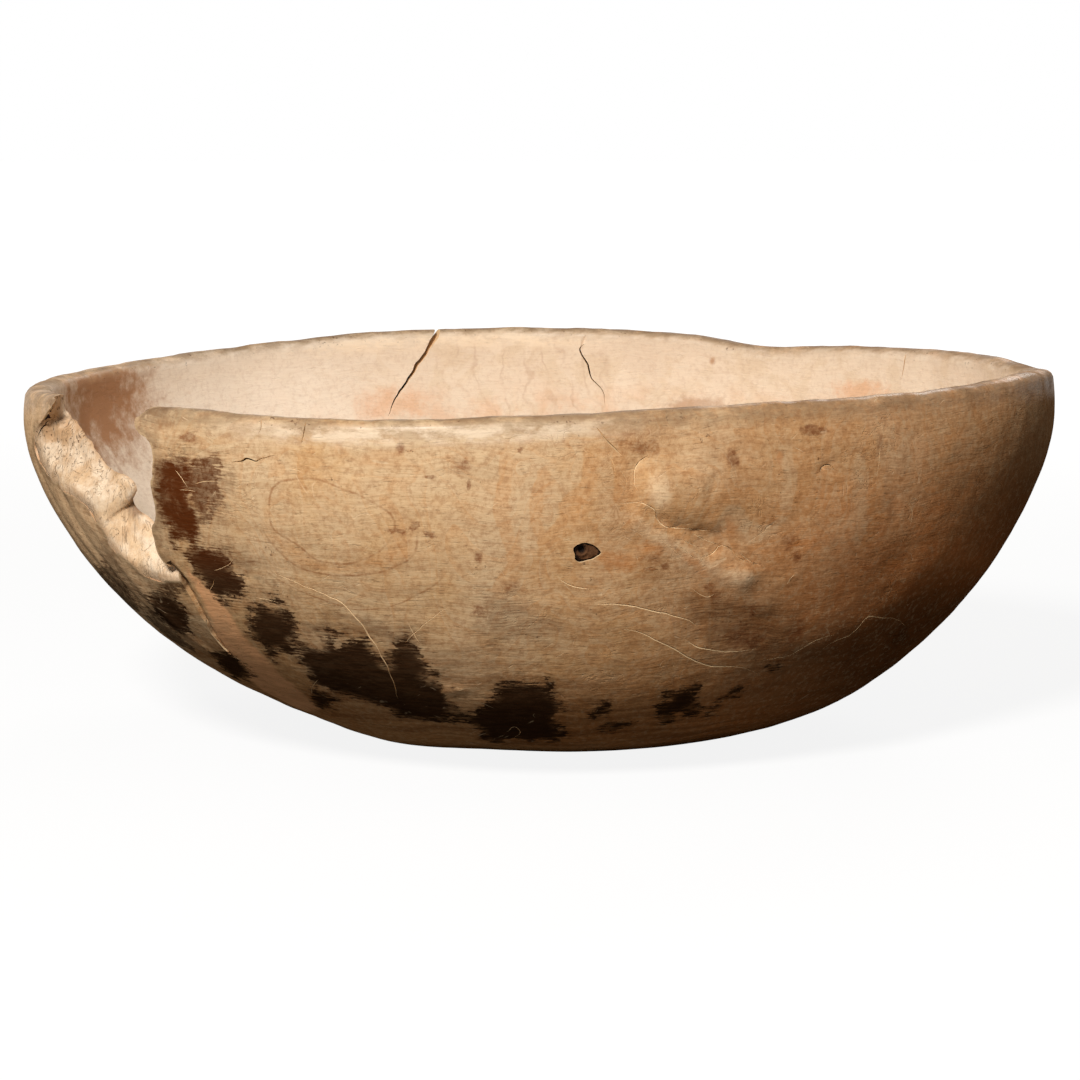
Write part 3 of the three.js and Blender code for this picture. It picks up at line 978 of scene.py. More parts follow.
@dataclass(frozen=True)
class Marks:
    """Marks drawn on the outer face, through angles and heights."""

    burnt: tuple[Path, ...] = (
        trace(227.5, 143.1, 228.8, 144.5, 231.8, 144.8, 231.8, 135.9, 232, 127.6, 232.5, 120.8, 232, 114.6,
            230.8, 107.3, 229, 109.1, 227.2, 102.7, 226.2, 103.1, 226.5, 108.3, 227.5, 112.6, 227, 115.2,
            225.8, 116.6, 226.5, 130.1, 226.8, 137),
        trace(228.5, 103.9, 230.2, 106.9, 232.2, 107.2, 234.2, 105, 235, 101.9, 234.8, 97.8, 236.2, 97.3,
            236.2, 92.7, 235.2, 87.9, 233.5, 85.2, 232, 83.7, 230.5, 81, 229.8, 83.3, 229.2, 87.3, 228.8, 93.9,
            228.2, 97.6),
        trace(235.5, 83.1, 236.8, 83.5, 238, 81.8, 239.5, 83, 240, 80.6, 239.5, 75.6, 240, 72.9, 239, 67.7,
            237.2, 63.8, 236.8, 58.8, 234.8, 57.1, 234.5, 60.3, 231.5, 55.1, 232.5, 60.7, 231.2, 62.9, 231.8, 66.9,
            231, 68.7, 233.5, 75.8),
        trace(238, 88.2, 239.2, 88.9, 239.8, 84.9, 238.8, 82.2, 238.2, 85.4),
        trace(237.2, 61.3, 240.5, 66.2, 241.2, 63.7, 242.2, 68, 244, 71.3, 245, 71.3, 244.2, 66.1, 246.5, 69.4,
            248.5, 69.4, 248.2, 64.3, 249, 62.2, 249, 57.2, 250.5, 66.9, 252.2, 69.9, 253.8, 68.8, 254.5, 63.8,
            254.8, 55.3, 253.2, 51.2, 255, 50.6, 255.5, 45.7, 254.8, 37.8, 252.8, 29.3, 249.5, 27.9, 246.2, 28.4,
            243, 28.2, 243.8, 33.3, 241.5, 35.9, 239, 38.4, 236.2, 40.6, 234, 40.6, 234.5, 45.4, 236, 50.9,
            236.2, 55.7),
        trace(231.8, 37.6, 235.8, 40.3, 235, 35.4, 231, 29.2, 227.5, 28.1, 228, 31.5),
        trace(253.5, 31.9, 255.2, 32.2, 254.2, 28.5, 252.2, 27.7),
        trace(261.8, 50.2, 264, 51.6, 266, 51.4, 268, 49.8, 268.2, 45.2, 269.2, 41.4, 269.2, 35.2, 268.2, 30,
            268, 20.6, 266.8, 16.1, 265, 17.7, 262, 14.6, 260.2, 18.3, 256.2, 13.7, 254.8, 18, 255.5, 25,
            254.2, 29.1, 255, 32.2, 257.5, 35.5, 258.8, 39.1, 260.5, 43.9),
        trace(272.8, 32.4, 273.8, 38.1, 274.8, 40.6, 275.5, 38.8, 275.2, 33.9, 274.2, 32.7),
        trace(274.5, 24.9, 275.5, 28.5, 277.5, 28, 277.2, 23.1, 275.5, 21.5),
        trace(281.2, 36.2, 282.8, 39.3, 282.2, 42.5, 284.2, 45.1, 285.8, 46.7, 287.2, 46.4, 287, 42.2, 287.2, 37.8,
            288.5, 29.5, 287.2, 27.8, 285.8, 30.1, 284.8, 31.5, 284.5, 26.2, 283, 26.7, 282, 30.6),
        trace(290.5, 37.2, 292, 41.3, 293.5, 43.2, 293.5, 40, 292, 36.9),
        trace(289.2, 28.4, 290, 32.4, 290.8, 34.2, 290.8, 31, 290, 27.3),
        trace(297, 50.5, 297.2, 53.3, 297.8, 51.9, 297.5, 49.5),
        trace(215.8, 79.9, 219.2, 81.7, 222, 81, 222, 76.8, 221.5, 70.7, 218, 61, 214.2, 58.7, 212.2, 61,
            213.2, 68.3, 213.8, 73.2),
        trace(217.5, 50, 222, 54.5, 224, 52.5, 223.5, 46.8, 221.8, 41.4, 212.5, 34.1, 213.5, 39.8),
    )
    scorched: tuple[Path, ...] = (
        trace(232.2, 141.5, 233.8, 144.2, 235.2, 143.6, 236.2, 139.8, 236, 133.8, 236.2, 129.1, 234.5, 127.9,
            233.8, 123.9, 233.8, 120.3, 232.2, 119, 231.8, 127.1),
        trace(203, 85, 208, 86.6, 208.8, 81.5, 208.8, 75.8, 206.5, 67, 197.8, 62.9, 196.5, 68.5, 196.2, 74.8),
        trace(212.2, 70.1, 211.8, 63.1, 212.5, 56.8, 213, 50.1, 209.5, 48.2, 204.8, 50.6, 205.5, 57.7, 208, 66),
        trace(222.5, 91.9, 225.2, 92.3, 226, 88.6, 224, 83, 221.5, 82.2, 220.8, 86.6),
    )
    grimy: tuple[Path, ...] = (
        trace(231.5, 143.4, 236.8, 143.1, 237.8, 135, 236.2, 123.7, 232.8, 115.4, 230.8, 118.2),
        trace(230.5, 107.3, 235.8, 110, 239, 105.6, 239.2, 100.1, 236.8, 95.6, 234, 100.3),
        trace(210.5, 98.7, 214, 97, 216.2, 89.1, 215.2, 79.1, 208.5, 72, 205.2, 75.9, 206.8, 86.9),
        trace(245.2, 82, 253, 76.3, 255.8, 70.8, 253.2, 67, 246.5, 72, 242.8, 74.7),
        trace(263.5, 91.7, 266.5, 89.9, 270.2, 79.8, 268, 71.5, 261.5, 71.5, 261, 80.7),
        trace(284.5, 87.1, 287.5, 90.8, 293, 82, 298.8, 73, 297, 60.3, 288.8, 62.8, 284.8, 73.2),
    )
    rubbed: tuple[Path, ...] = (
        trace(227.2, 99.3, 228.5, 93, 230, 86.9, 231, 79.8, 231, 68.7, 230.5, 56.5, 229.8, 42, 228.2, 28.1,
            216.5, 21.7, 215.8, 31, 221, 45.2, 223.2, 60.1, 226.5, 75.2, 227, 88.2),
    )
    rings: tuple[Path, ...] = (
        trace(241.8, 130.2, 242.2, 134.8, 243.2, 138, 244.5, 139.3, 246.2, 140.2, 247.5, 139.8, 248.8, 138.4,
            250.2, 136.1, 251.8, 133.9, 253.2, 130.8, 254.5, 127.7, 255, 124.5, 255, 120.5, 254.2, 115.1,
            253, 110.7, 251.2, 106.7, 249.2, 104.5, 247.2, 104.5, 245.5, 106.2, 244.5, 110.1, 243.5, 113.1,
            242.2, 115.8, 241.5, 119.4, 241.5, 124.8),
        trace(257.2, 123.4, 257.2, 117.6, 256.8, 111.4, 255.8, 107, 254.2, 103.9, 252.5, 101.2, 250.2, 99.5,
            248, 99, 245.8, 99.4, 243.5, 101.6, 242.2, 105.4, 241.2, 110.2, 240.5, 115.5, 240.2, 122.1,
            240.8, 129.8, 241.5, 136.2, 243.2, 141.3, 246.2, 144.5, 249.8, 142.6, 253, 137.2, 255.8, 130.5),
        trace(238.8, 100.5, 241, 94.2, 242.5, 91.3, 244.5, 88, 246.2, 86, 247.8, 84, 249.8, 84, 251.8, 84.9,
            254, 87.8, 255.8, 91.5, 257.5, 94.9, 258.8, 98.8, 259.8, 104.8, 260.5, 113.5, 260.8, 124.2, 260, 134.7,
            257.5, 144.2, 253, 151.9, 247.8, 153.6, 242.2, 148.4, 238.8, 133.6, 237.2, 116.1),
    )
    figure: tuple[Path, ...] = (
        trace(265.8, 145.2, 265.5, 137.6, 265, 131.5, 265, 125.1, 265.2, 120.1, 265.5, 114.8, 265.8, 110,
            265.8, 106.1, 265.2, 102.7, 264.5, 99.6),
        trace(269.2, 139.5, 268.8, 135.2, 268.5, 129.6, 268.5, 123.2, 268.8, 117.8),
        trace(274, 145.4, 273.8, 140.1, 273.2, 137.2, 272.2, 134.7, 271.5, 130.4, 271.5, 126.3, 271, 123),
        trace(296.2, 143.4, 296.5, 137.2, 296.2, 130.1, 295.8, 123.7, 295, 120),
        trace(287.2, 120.3, 287.8, 124.4, 288.5, 127.7, 289.5, 128.6, 290.2, 126.3, 291, 121.3, 292.5, 117.7,
            294.8, 120),
        trace(305, 140.6, 305.5, 133, 305.2, 125.6, 306, 117.4, 305.8, 110.3),
        trace(277, 144.3, 277, 138.1, 276.8, 132, 277.2, 129.7),
    )
    far: float = 25.0
    figure_edge: float = 1.5
    figure_fade: float = 5.5

    def patches(self, form: BowlForm, outlines: tuple[Path, ...], points: np.ndarray) -> np.ndarray:
        """How far each point is from the nearest of the outlines.

        Args:
            form: the bowl that they are drawn on.
            outlines: closed outlines.
            points: points of the outer face, in millimetres.

        Returns:
            Distances in millimetres, below 0 inside an outline and never over the farthest.
        """
        nearest = np.full(len(points), self.far)
        for outline in outlines:
            angles, heights = smooth_path(np.array(outline, float), 3, closed=True).T
            drawn = form.wall(Side.OUTER, angles, heights)
            centre = drawn.mean(0)
            reach = np.linalg.norm(drawn - centre, axis=1).max() + self.far
            close = np.linalg.norm(points - centre, axis=1) < reach
            along, rise, _ = form.axes(Side.OUTER, angles.mean(), heights.mean())
            flat = np.stack([(drawn - centre) @ along, (drawn - centre) @ rise], -1)
            picked = np.stack([(points[close] - centre) @ along, (points[close] - centre) @ rise], -1)
            found = np.full(len(picked), self.far)
            crossed = np.zeros(len(picked), bool)
            for start, end in zip(flat, np.roll(flat, -1, axis=0)):
                run = end - start
                found = np.minimum(found, gap_to(start, end, picked, 1e-9))
                straddles = (start[1] > picked[:, 1]) != (end[1] > picked[:, 1])
                where = start[0] + (picked[:, 1] - start[1]) * run[0] / (run[1] + 1e-9)
                crossed ^= straddles & (picked[:, 0] < where)
            nearest[close] = np.minimum(nearest[close], np.where(crossed, -found, found))
        return nearest

    def sides(self, form: BowlForm, paths: tuple[Path, ...], points: np.ndarray) -> np.ndarray:
        """Which side of the nearest path each point is on, fading away from it.

        Args:
            form: the bowl that they are drawn on.
            paths: open paths.
            points: points of the outer face, in millimetres.

        Returns:
            Values near 1 right of a path, looking along it, and -1 left of it.
        """
        total = np.zeros(len(points))
        for path in paths:
            angles, heights = smooth_path(np.array(path, float), 4).T
            drawn = form.wall(Side.OUTER, angles, heights)
            out = form.axes(Side.OUTER, angles, heights)[2]
            nearest = np.full(len(points), 1e9)
            for start, end, facing in zip(drawn[:-1], drawn[1:], out):
                gap = gap_to(start, end, points)
                side = np.sign((points - start) @ np.cross(end - start, facing))
                nearest = np.where(gap < np.abs(nearest), side * gap, nearest)
            total += np.clip(nearest / self.figure_edge, -1, 1) * np.exp(-(nearest / self.figure_fade) ** 2)
        return np.clip(total, -1, 1)

    def measured(self, form: BowlForm, points: np.ndarray) -> dict[str, np.ndarray]:
        """Every mark as a measurement of each point."""
        names = ("burnt", "scorched", "grimy", "rubbed")
        values = {name: self.patches(form, getattr(self, name), points) for name in names}
        for name, ring in zip(RINGS, self.rings):
            values[name] = self.patches(form, (ring,), points)
        values["figure"] = self.sides(form, self.figure, points)
        return values


@dataclass(frozen=True)
class SkinFinish:
    """The worn skin of the bowl, tan and stained outside, pale and pinkish inside."""

    pale: Colour = shade(226, 196, 156)
    tan: Colour = shade(214, 166, 110)
    warm: Colour = shade(214, 154, 98)
    russet: Colour = shade(222, 144, 90)
    grey: Colour = shade(174, 142, 104)
    line: Colour = shade(146, 90, 50)
    patina_and_shade: Colour = shade(80, 46, 22)
    soot: Colour = shade(58, 38, 23)
    scorch: Colour = shade(86, 42, 17)
    rust: Colour = shade(116, 62, 34)
    ochre: Colour = shade(200, 124, 62)
    umber: Colour = shade(152, 102, 58)
    weathered: Colour = shade(138, 113, 86)
    painted_rim_highlight: Colour = shade(246, 224, 196)
    amber: Colour = shade(255, 214, 166)
    rubbed: Colour = shade(255, 190, 136)
    highlight_and_scratch: Colour = shade(250, 218, 176)
    inside: Colour = shade(234, 215, 192)
    inside_pink: Colour = shade(224, 203, 180)
    inside_painted_light: Colour = shade(254, 240, 222)
    inside_warm: Colour = shade(218, 194, 164)
    inside_peach: Colour = shade(222, 160, 112)
    inside_brown: Colour = shade(172, 130, 98)
    inside_dark: Colour = shade(168, 110, 60)
    rust_stains: tuple[Stain, ...] = (
        Stain((232.2, 153.9), (3.7, 1.9), 0, 1, 0.4), Stain((256.2, 153.7), (1.7, 1.9), 0, 1, 0.5),
        Stain((259, 142.1), (2.8, 0.9), 0, 0.8, 0.3), Stain((289.2, 147.6), (2.2, 3.9), 12, 0.8, 0.4),
        Stain((298.5, 157.1), (5.6, 2.2), -6, 0.8, 0.3), Stain((281, 156), (1.9, 0.9)),
        Stain((262, 85.1), (2.4, 1.9), 20), Stain((263, 108.1), (1.5, 2.3), 0, 1.4, 0.6),
        Stain((268, 153.2), (0.9, 0.9)), Stain((262.8, 138.7), (0.6, 1.9)),
        Stain((262.5, 147.7), (3.3, 2.8), 0, 1.6, 1), Stain((266, 95.6), (3.3, 2.3), 0, 1.8, 0.9),
        Stain((280.5, 106.7), (4.2, 1.7), 0, 1.6, 0.8), Stain((281.8, 102.8), (1.6, 1.4)),
        Stain((280, 102.3), (2.3, 0.8)), Stain((296, 109.3), (2.8, 2.8), 0, 1.8, 0.9),
        Stain((296.8, 103.2), (2, 2.3), 0, 1.8, 0.8), Stain((286.5, 92.9), (2.8, 2), 0, 1.8, 0.6),
        Stain((287.2, 87.9), (1.7, 3.3), 0, 1.8, 0.6), Stain((292, 80), (1.3, 2.8), 0, 1.8, 0.6),
        Stain((290.8, 69.1), (4.4, 3.9), 20, 2.2, 0.8), Stain((293, 65.4), (3.5, 3.3), 20, 2.2, 0.8),
        Stain((298.5, 68.1), (2.3, 4.2), -30, 2, 0.8), Stain((307, 148.3), (1.2, 3.7), 0, 1.6, 0.7),
        Stain((279.8, 154.4), (5.6, 4.2), 0, 1.6, 1), Stain((255.4, 119.6), (3.6, 1.1), 0, 2.4, 0.4),
        Stain((257, 121.4), (2.2, 1.3), 35, 2.4, 0.4), Stain((258.6, 117.8), (2.6, 0.9), -25, 3, 0.5),
    )
    ochre_stains: tuple[Stain, ...] = (
        Stain((284.8, 104.7), (4.7, 1.9), -32, 1.2, 0.6), Stain((286, 99.6), (3.3, 1.7), -40, 1.2, 0.8),
        Stain((288.8, 119), (2.4, 3.7), 15, 1.4, 0.9), Stain((294.5, 146.8), (1.3, 1.9), 0, 1, 0.6),
        Stain((297.5, 109.3), (6.5, 1.2), 8, 1.4, 0.6), Stain((277, 105.5), (7.5, 3.7), -8, 1.8, 1),
        Stain((280.8, 111), (5.6, 2.3), -10, 1.8, 1),
    )

    stain_depth: float = 34
    ring_strength: float = 0.62
    burls: tuple[Stain, ...] = (
        Stain((279.8, 157.5), (13, 8.5), 0, 1.6, 0.9), Stain((276.8, 141), (7, 13), 0, 2, 1),
        Stain((277.5, 122), (8, 12), 0, 2, 1), Stain((281.5, 104), (11, 9), 0, 2, 1),
        Stain((287.5, 86), (14, 9), 0, 2, 1),
    )

    def stained(self, wood: Surface, bowl: "CarvedBowl", ragged: Value, stains: tuple[Stain, ...]) -> Value:
        """One mask for a set of small stains."""
        return reduce(or_, (
            wood.net.group(
                wood.effects.blotch, Place=wood.place, Centre=tuple(bowl.spot(*stain.at)), Ragged=ragged,
                Reach=(stain.reach[0], self.stain_depth, stain.reach[1]), Turn=math.radians(stain.turn),
                Raggedness=stain.ragged, Softness=stain.soft,
            ).mask for stain in stains
        ))

    def figured(self, wood: Surface, paint: Paint) -> None:
        """Lays growth rings, growth bands and the wavy figure of the outer face over the paint."""
        seen = wood.mottle.close * 0.6 + 0.4
        paint.over(wood.mottle.bands.step(0.45, 1, 0, 0.3) * seen, self.pale)
        paint.over(wood.mottle.bands.step(0.4, 0, 0, 0.34) * seen, self.warm)
        drift = (wood.noise(7, 4, 0.6) - 0.5) * 3.4
        broken = wood.noise(6).step(0.36, 0.58, 0.3, 1)
        one, two, three = (wood.read(name) for name in RINGS)
        between = one.step(-1, 3) * two.step(1, -4)
        paint.over(between * wood.height.step(126, 104, 0.14, 0.45), self.warm)
        paint.over(one.step(-2, -14) * 0.3, self.pale)
        for ring, width, top, bottom in ((one, 0.8, 400, 399), (two, 0.8, 124, 112), (three, 0.6, 104, 92)):
            there = wood.height.step(top, bottom) * broken * self.ring_strength
            paint.over(abs(drift * 0.28 + ring).step(width, 0.1) * there, self.line)
        side = drift * 0.3 + wood.read("figure")
        paint.over(side.step(0.02, 0.3) * 0.32, self.pale)
        paint.over(side.step(-0.02, -0.3) * 0.36, self.warm)

    def toned(self, wood: Surface, streaks: Value) -> Paint:
        """The tones of the outer face: pale to tan, redder to the right, greyer to the left, with painted shade
        that darkens the lower right, the right end and the lower part, and darker still at the foot.

        Args:
            wood: the surface.
            streaks: the mask of the grain's streaks.

        Returns:
            The paint so far.
        """
        along, height, broad, close = wood.along, wood.height, wood.mottle.broad, wood.mottle.close
        paint = Paint(wood.net, broad * 0.65 + 0.05, self.pale, self.tan)
        paint.over(along.step(-60, 95) * (close * 0.45 + 0.4) * height.step(152, 112, 0.55, 1), self.warm)
        redder = along.step(25, 190) * height.step(150, 80, 0.3, 1)
        paint.over(redder * (close * 0.35 + 0.55), self.russet)
        self.figured(wood, paint)
        paint.over(along.step(-20, -175, 0.12, 0.4) * (streaks * 0.7 + 0.3), self.grey)
        paint.over(streaks * (height.step(118, 40) * 0.34 + 0.1), self.umber)
        # Painted shade: an amber glaze multiplied over the lower right and the lower part deepens them as if in
        # shadow.
        deeper = along.step(60, 210) * height.step(150, 60, 0.15, 1)
        paint.over(deeper | height.step(70, 14, 0, 0.8), self.amber, "MULTIPLY")
        # Darker towards the foot, and painted shade in the patina colour over the lower right and the right end,
        # where the light falls off.
        darker = height.step(50, 2) * (streaks * 0.35 + 0.2)
        shaded = along.step(45, 160) * height.step(108, 56)
        end = along.step(160, 230) * height.step(168, 100, 0, 0.75)
        paint.over(darker | (shaded | end) * broad.step(0, 1, 1, 0.8), self.patina_and_shade)
        paint.over(along.step(-150, -205, 0, 0.8), self.amber)
        return paint

    def outside(self, wood: Surface, bowl: "CarvedBowl") -> tuple[Value, Value]:
        """The outer face's colour.

        Args:
            wood: the surface.
            bowl: the bowl that it dresses.

        Returns:
            The colour and the mask of its dark stains.
        """
        height, close, fine = wood.height, wood.mottle.close, wood.mottle.fine
        fibres = wood.grain.fibres.step(0.36, 0.7)
        paint = self.toned(wood, wood.grain.streaks.step(0.4, 0.66))
        lift = wood.read("lift")
        # Painted highlight: the raised relief is lightened where the light catches it.
        paint.over(lift.step(0.7, 2.1) * (close * -0.3 + 0.85), self.highlight_and_scratch)
        # Painted shade: dents and furrows are darkened with umber.
        paint.over(lift.step(-0.5, -1.4, 0, 0.55), self.umber)
        paint.over(fine.step(0.3, 1, 0, 0.36), self.line)
        paint.over(fine.step(0.35, 0, 0, 0.28), self.pale)
        rubbed = (close * 3 + wood.read("rubbed")).step(2.6, -2)
        paint.over(rubbed * (close * -0.35 + 0.95), self.rubbed)
        unrubbed = rubbed * -0.85 + 1
        ragged = (wood.noise(4.2, 5, 0.72, stretch=(0.7, 0.7, 1)) - 0.5) * 2.6
        rust, burl, ochre = (
            self.stained(wood, bowl, ragged, stains) for stains in (self.rust_stains, self.burls, self.ochre_stains)
        )
        paint.over(rust * (fine * 0.4 + 0.35), self.rust)
        swirl = (wood.noise(9, 2, 0.4, 1.2) * 15).folded()
        paint.over(burl * swirl.step(0, 0.45, 0.5, 0.16), self.umber)
        paint.over(ochre * 0.45, self.ochre)
        stray = wood.net.group(wood.effects.edge, Place=wood.place).stray
        smoky = fibres * 0.35 + 0.2
        paint.over((stray * 1.5 + wood.read("grimy")).step(4, -6) * unrubbed * smoky, self.patina_and_shade)
        burnt = wood.read("burnt")
        paint.over((stray * 1.7 + burnt).step(4.5, -1.5) * unrubbed * smoky, self.patina_and_shade)
        scorched = (stray + wood.read("scorched")).step(1.6, -1.2) * 0.95
        wear = wood.noise(1.1, 5, 0.75, stretch=(0.16, 0.16, 1))
        thin = burnt.step(-6, -0.5, 0.1, 1.3) * (close * 0.12 + wear).step(0.5, 0.68)
        soft = height.step(92, 126, 0.7, 3.2)
        solid = (stray + burnt).step(soft, soft * -1) * (close * height.step(88, 120)).step(0.4, 1, 1, 0.7)
        soot = scorched * (fine * 0.35 + 0.58) | solid * (thin * -0.6 + 1)
        paint.over(soot, wood.net.mix(height.step(84, 116), self.soot, self.scorch))
        paint.over(fibres * (soot * -0.16 + 0.23), self.line)
        paint.over(wood.grain.pores * 0.16, self.patina_and_shade)
        paint.over(wood.specks(2.4, 0.015) * 0.6, self.patina_and_shade)
        return paint.colour, soot

    def within(self, wood: Surface) -> Value:
        """The inner face's colour, with painted light towards the left end and a painted shadow, over brown wood,
        on the inner left end.
        """
        along, across, height = wood.along, wood.across, wood.height
        paint = Paint(wood.net, wood.mottle.broad, self.inside, self.inside_pink)
        paint.over(wood.mottle.close.step(0.35, 1, 0, 0.5), self.inside_warm)
        low = height.step(146, 126) * wood.noise(16, 4, 0.6).step(0.4, 0.62, 0, 0.3)
        paint.over(low * across.step(60, 130), self.inside_peach)
        slope = (168 - height) * 0.025 | 0
        drift = (wood.noise(20) - 0.5) * 26
        rings = ((slope * slope * -7 + along + drift) / 11).folded().step(0.13, 0)
        there = along.step(-58, -34) * along.step(52, 24) * across.step(60, 110)
        paint.over(rings * (there * wood.noise(14, 2).step(0.38, 0.62, 0.06, 0.26)), self.inside_brown)
        # Painted light: the left end and the wall seen through the break are lightened where little light reaches
        # them.
        paint.over(along.step(-40, -150, 0, 0.7), self.inside_painted_light)
        stray = (wood.noise(9, 5, 0.7) - 0.5) * 3.4
        for centre, reach, strength, stain, rags in (
            ((-76, 174, 130), (17, 30, 7), 0.4, self.inside_peach, 1),
            ((78, 163, 131), (17, 30, 4), 0.55, self.inside_brown, 1),
            ((160, 116, 143), (12, 30, 5), 0.5, self.inside_peach, 1),
            ((88, 160, 153.5), (1.6, 30, 1.8), 0.6, self.inside_dark, 1),
            # Painted shadow of the left rim on the inner left end, over a brown stain.
            ((-212, 60, 146), (23, 60, 36), 0.85, self.inside_dark, 0.7),
        ):
            paint.over((stray * rags + wood.near(centre, reach)).step(1.5, 0.3) * strength, stain)
        paint.over(wood.mottle.fine.step(0.4, 1, 0, 0.16), self.inside_brown)
        paint.over(wood.grain.fibres.step(0.4, 0.75) * 0.12, self.inside_brown)
        return paint.colour

    def edged(self, wood: Surface, paint: Paint) -> None:
        """Lays the rim's wear, a painted highlight band below the near rim and the pale wood along the break over
        the paint.
        """
        below, inner, torn = (wood.read(name) for name in ("below_rim", "inner", "to_break"))
        patchy = wood.noise(6, 5, 0.7, stretch=(0.4, 0.4, 1))
        weathered = below.step(12, 0) * patchy.step(0.3, 0.6, 0.15, 0.75) * inner.step(0.9, 0.55, 0.2, 1)
        paint.over(weathered, self.weathered)
        # Painted highlight: a pale band just below the near rim, where the lip catches the light.
        band = below.step(0.5, 5) * below.step(13, 6)
        band = band * wood.along.step(-150, -90) * wood.along.step(60, -10)
        paint.over(band * patchy.step(0.62, 0.4, 0.15, 0.75), self.painted_rim_highlight)
        lip = below.step(2.2, -3.5) * patchy.step(0.4, 0.58, 0.1, 0.7)
        paint.over(lip * wood.mottle.close.step(0.1, 0.8, 0.5, 1), self.patina_and_shade)
        paint.over(wood.specks(1.9, 0.06) * below.step(9, 0, 0, 0.7), self.patina_and_shade)
        paint.over(torn.step(7, 1) * patchy.step(0.34, 0.6, 0.1, 0.5) * inner.step(0.6, 0.2), self.patina_and_shade)
        paint.over(torn.step(1.5, 0.2) * wood.noise(5).step(0.35, 0.6) * 0.5, self.pale)

    def build(self, effects: Effects, bowl: "CarvedBowl") -> bpy.types.Material:
        """Makes the material.

        Args:
            effects: the shared groups.
            bowl: the bowl that it dresses.

        Returns:
            The material.
        """
        wood = Surface("worn skin", effects)
        grain, close = wood.grain, wood.mottle.close
        scratches = wood.net.group(effects.scratches, Place=wood.place)
        outside, soot = self.outside(wood, bowl)
        inner = wood.read("inner").step(0.35, 0.95)
        paint = Paint(wood.net, inner, outside, self.within(wood))
        self.edged(wood, paint)
        hairs = (scratches.curved * 0.3 | scratches.straight * 0.4) * (inner * -0.85 + 1)
        # Pale hairline scratches, in the colour also used for the painted highlight.
        paint.over(hairs, self.highlight_and_scratch)
        rim = wood.read("below_rim").step(16, 4, 0, 0.38) * wood.height.step(60, 110)
        polish = rim * close.step(1, 0.2, 0.3, 1) * (inner * -0.75 + 1) * (soot * -0.8 + 1)
        relief = (grain.fibres - 0.5) * 0.16 + grain.pores * -0.08
        relief = relief + wood.noise(5, 4, 0.62, stretch=(0.6, 0.6, 1)) * 0.34
        wrinkles = abs(wood.noise(6.5, 3, 0.55, 1.1, stretch=(0.55, 0.55, 1)) - 0.5)
        creased = wood.noise(22).step(0.52, 0.68, 0, -0.12) * (1 - inner)
        relief = relief + wrinkles.step(0.022, 0) * creased + hairs * -0.22
        return wood.finish(
            relief, Base_Color=paint.colour, Roughness=grain.streaks * 0.2 + inner * 0.14 + soot * 0.1 + 0.42,
            Specular_IOR_Level=0, Coat_Weight=polish, Coat_Roughness=0.32,
        )


@dataclass(frozen=True)
class TornFinish:
    """Torn wood of the broken wall: pale, fibrous and pitted, browner at its edges, with painted shade in its pits,
    seams and the hollow beside the knob.
    """

    cream: Colour = shade(250, 228, 200)
    fibre: Colour = shade(236, 202, 162)
    edge: Colour = shade(198, 157, 116)
    pit: Colour = shade(96, 58, 34)

    def build(self, effects: Effects, hollow: tuple[float, ...]) -> bpy.types.Material:
        """Makes the material.

        Args:
            effects: the shared groups.
            hollow: the place of the hollow beside the knob, painted dark as its shade.

        Returns:
            The material.
        """
        wood = Surface("torn wood", effects)
        fibres = wood.noise(1.3, 5, 0.7, stretch=(1, 1, 0.25))
        broad = wood.noise(13, 4, 0.6, 0.6)
        top = wood.height.step(118, 146)
        paint = Paint(wood.net, broad.step(0.38, 0.66), self.cream, self.fibre)
        paint.over(fibres.step(0.35, 0.7, 0, 0.3), self.fibre)
        paint.over(wood.mottle.close.step(0.4, 1) * 0.35, self.edge)
        paint.over(wood.read("depth").step(1.6, 0.1, 0, 0.6), self.edge)
        # Painted shade in the hollow beside the knob.
        near = (fibres - 0.5) * 1.2 + wood.near(hollow, (5, 5, 9))
        paint.over(near.step(1.3, 0.3) * 0.7, self.pit)
        paint.over(top * broad.step(0.36, 0.6, 0.25, 0.8), self.edge)
        paint.over(wood.mottle.fine.step(0.4, 1, 0, 0.4), self.edge)
        # Painted shade in the pits and seams of the rough top.
        pits = wood.specks(2.1, top * 0.06 + 0.05)
        paint.over(pits * (top * 0.55 + 0.05), self.pit)
        seams = abs(wood.noise(12, 3, 0.6, 1.5, stretch=(1, 1, 0.4)) - 0.5).step(0.007, 0)
        paint.over(seams * (top * 0.5 + 0.3), self.pit)
        relief = fibres * 0.8 + pits * top * -0.5 + seams * -0.35
        return wood.finish(relief, 0.9, Base_Color=paint.colour, Roughness=fibres * 0.2 + 0.68,
                           Specular_IOR_Level=DRY)


@dataclass(frozen=True)
class CrackFinish:
    """The walls of cracks and splits: fresh wood at the lip, darkened inside as painted shade."""

    lip: Colour = shade(232, 200, 156)
    deep: Colour = shade(52, 32, 22)

    def build(self) -> bpy.types.Material:
        """Makes the material."""
        wood = Surface("crack wood")
        # Painted shade: the walls darken with depth into the crack.
        depth = (wood.noise(1.6) - 0.5) * 0.5 + wood.read("depth")
        colour = wood.net.mix(depth.step(0.35, 1.1), self.lip, self.deep)
        return wood.finish(Base_Color=colour, Roughness=wood.noise(2) * 0.2 + 0.65, Specular_IOR_Level=DRY)


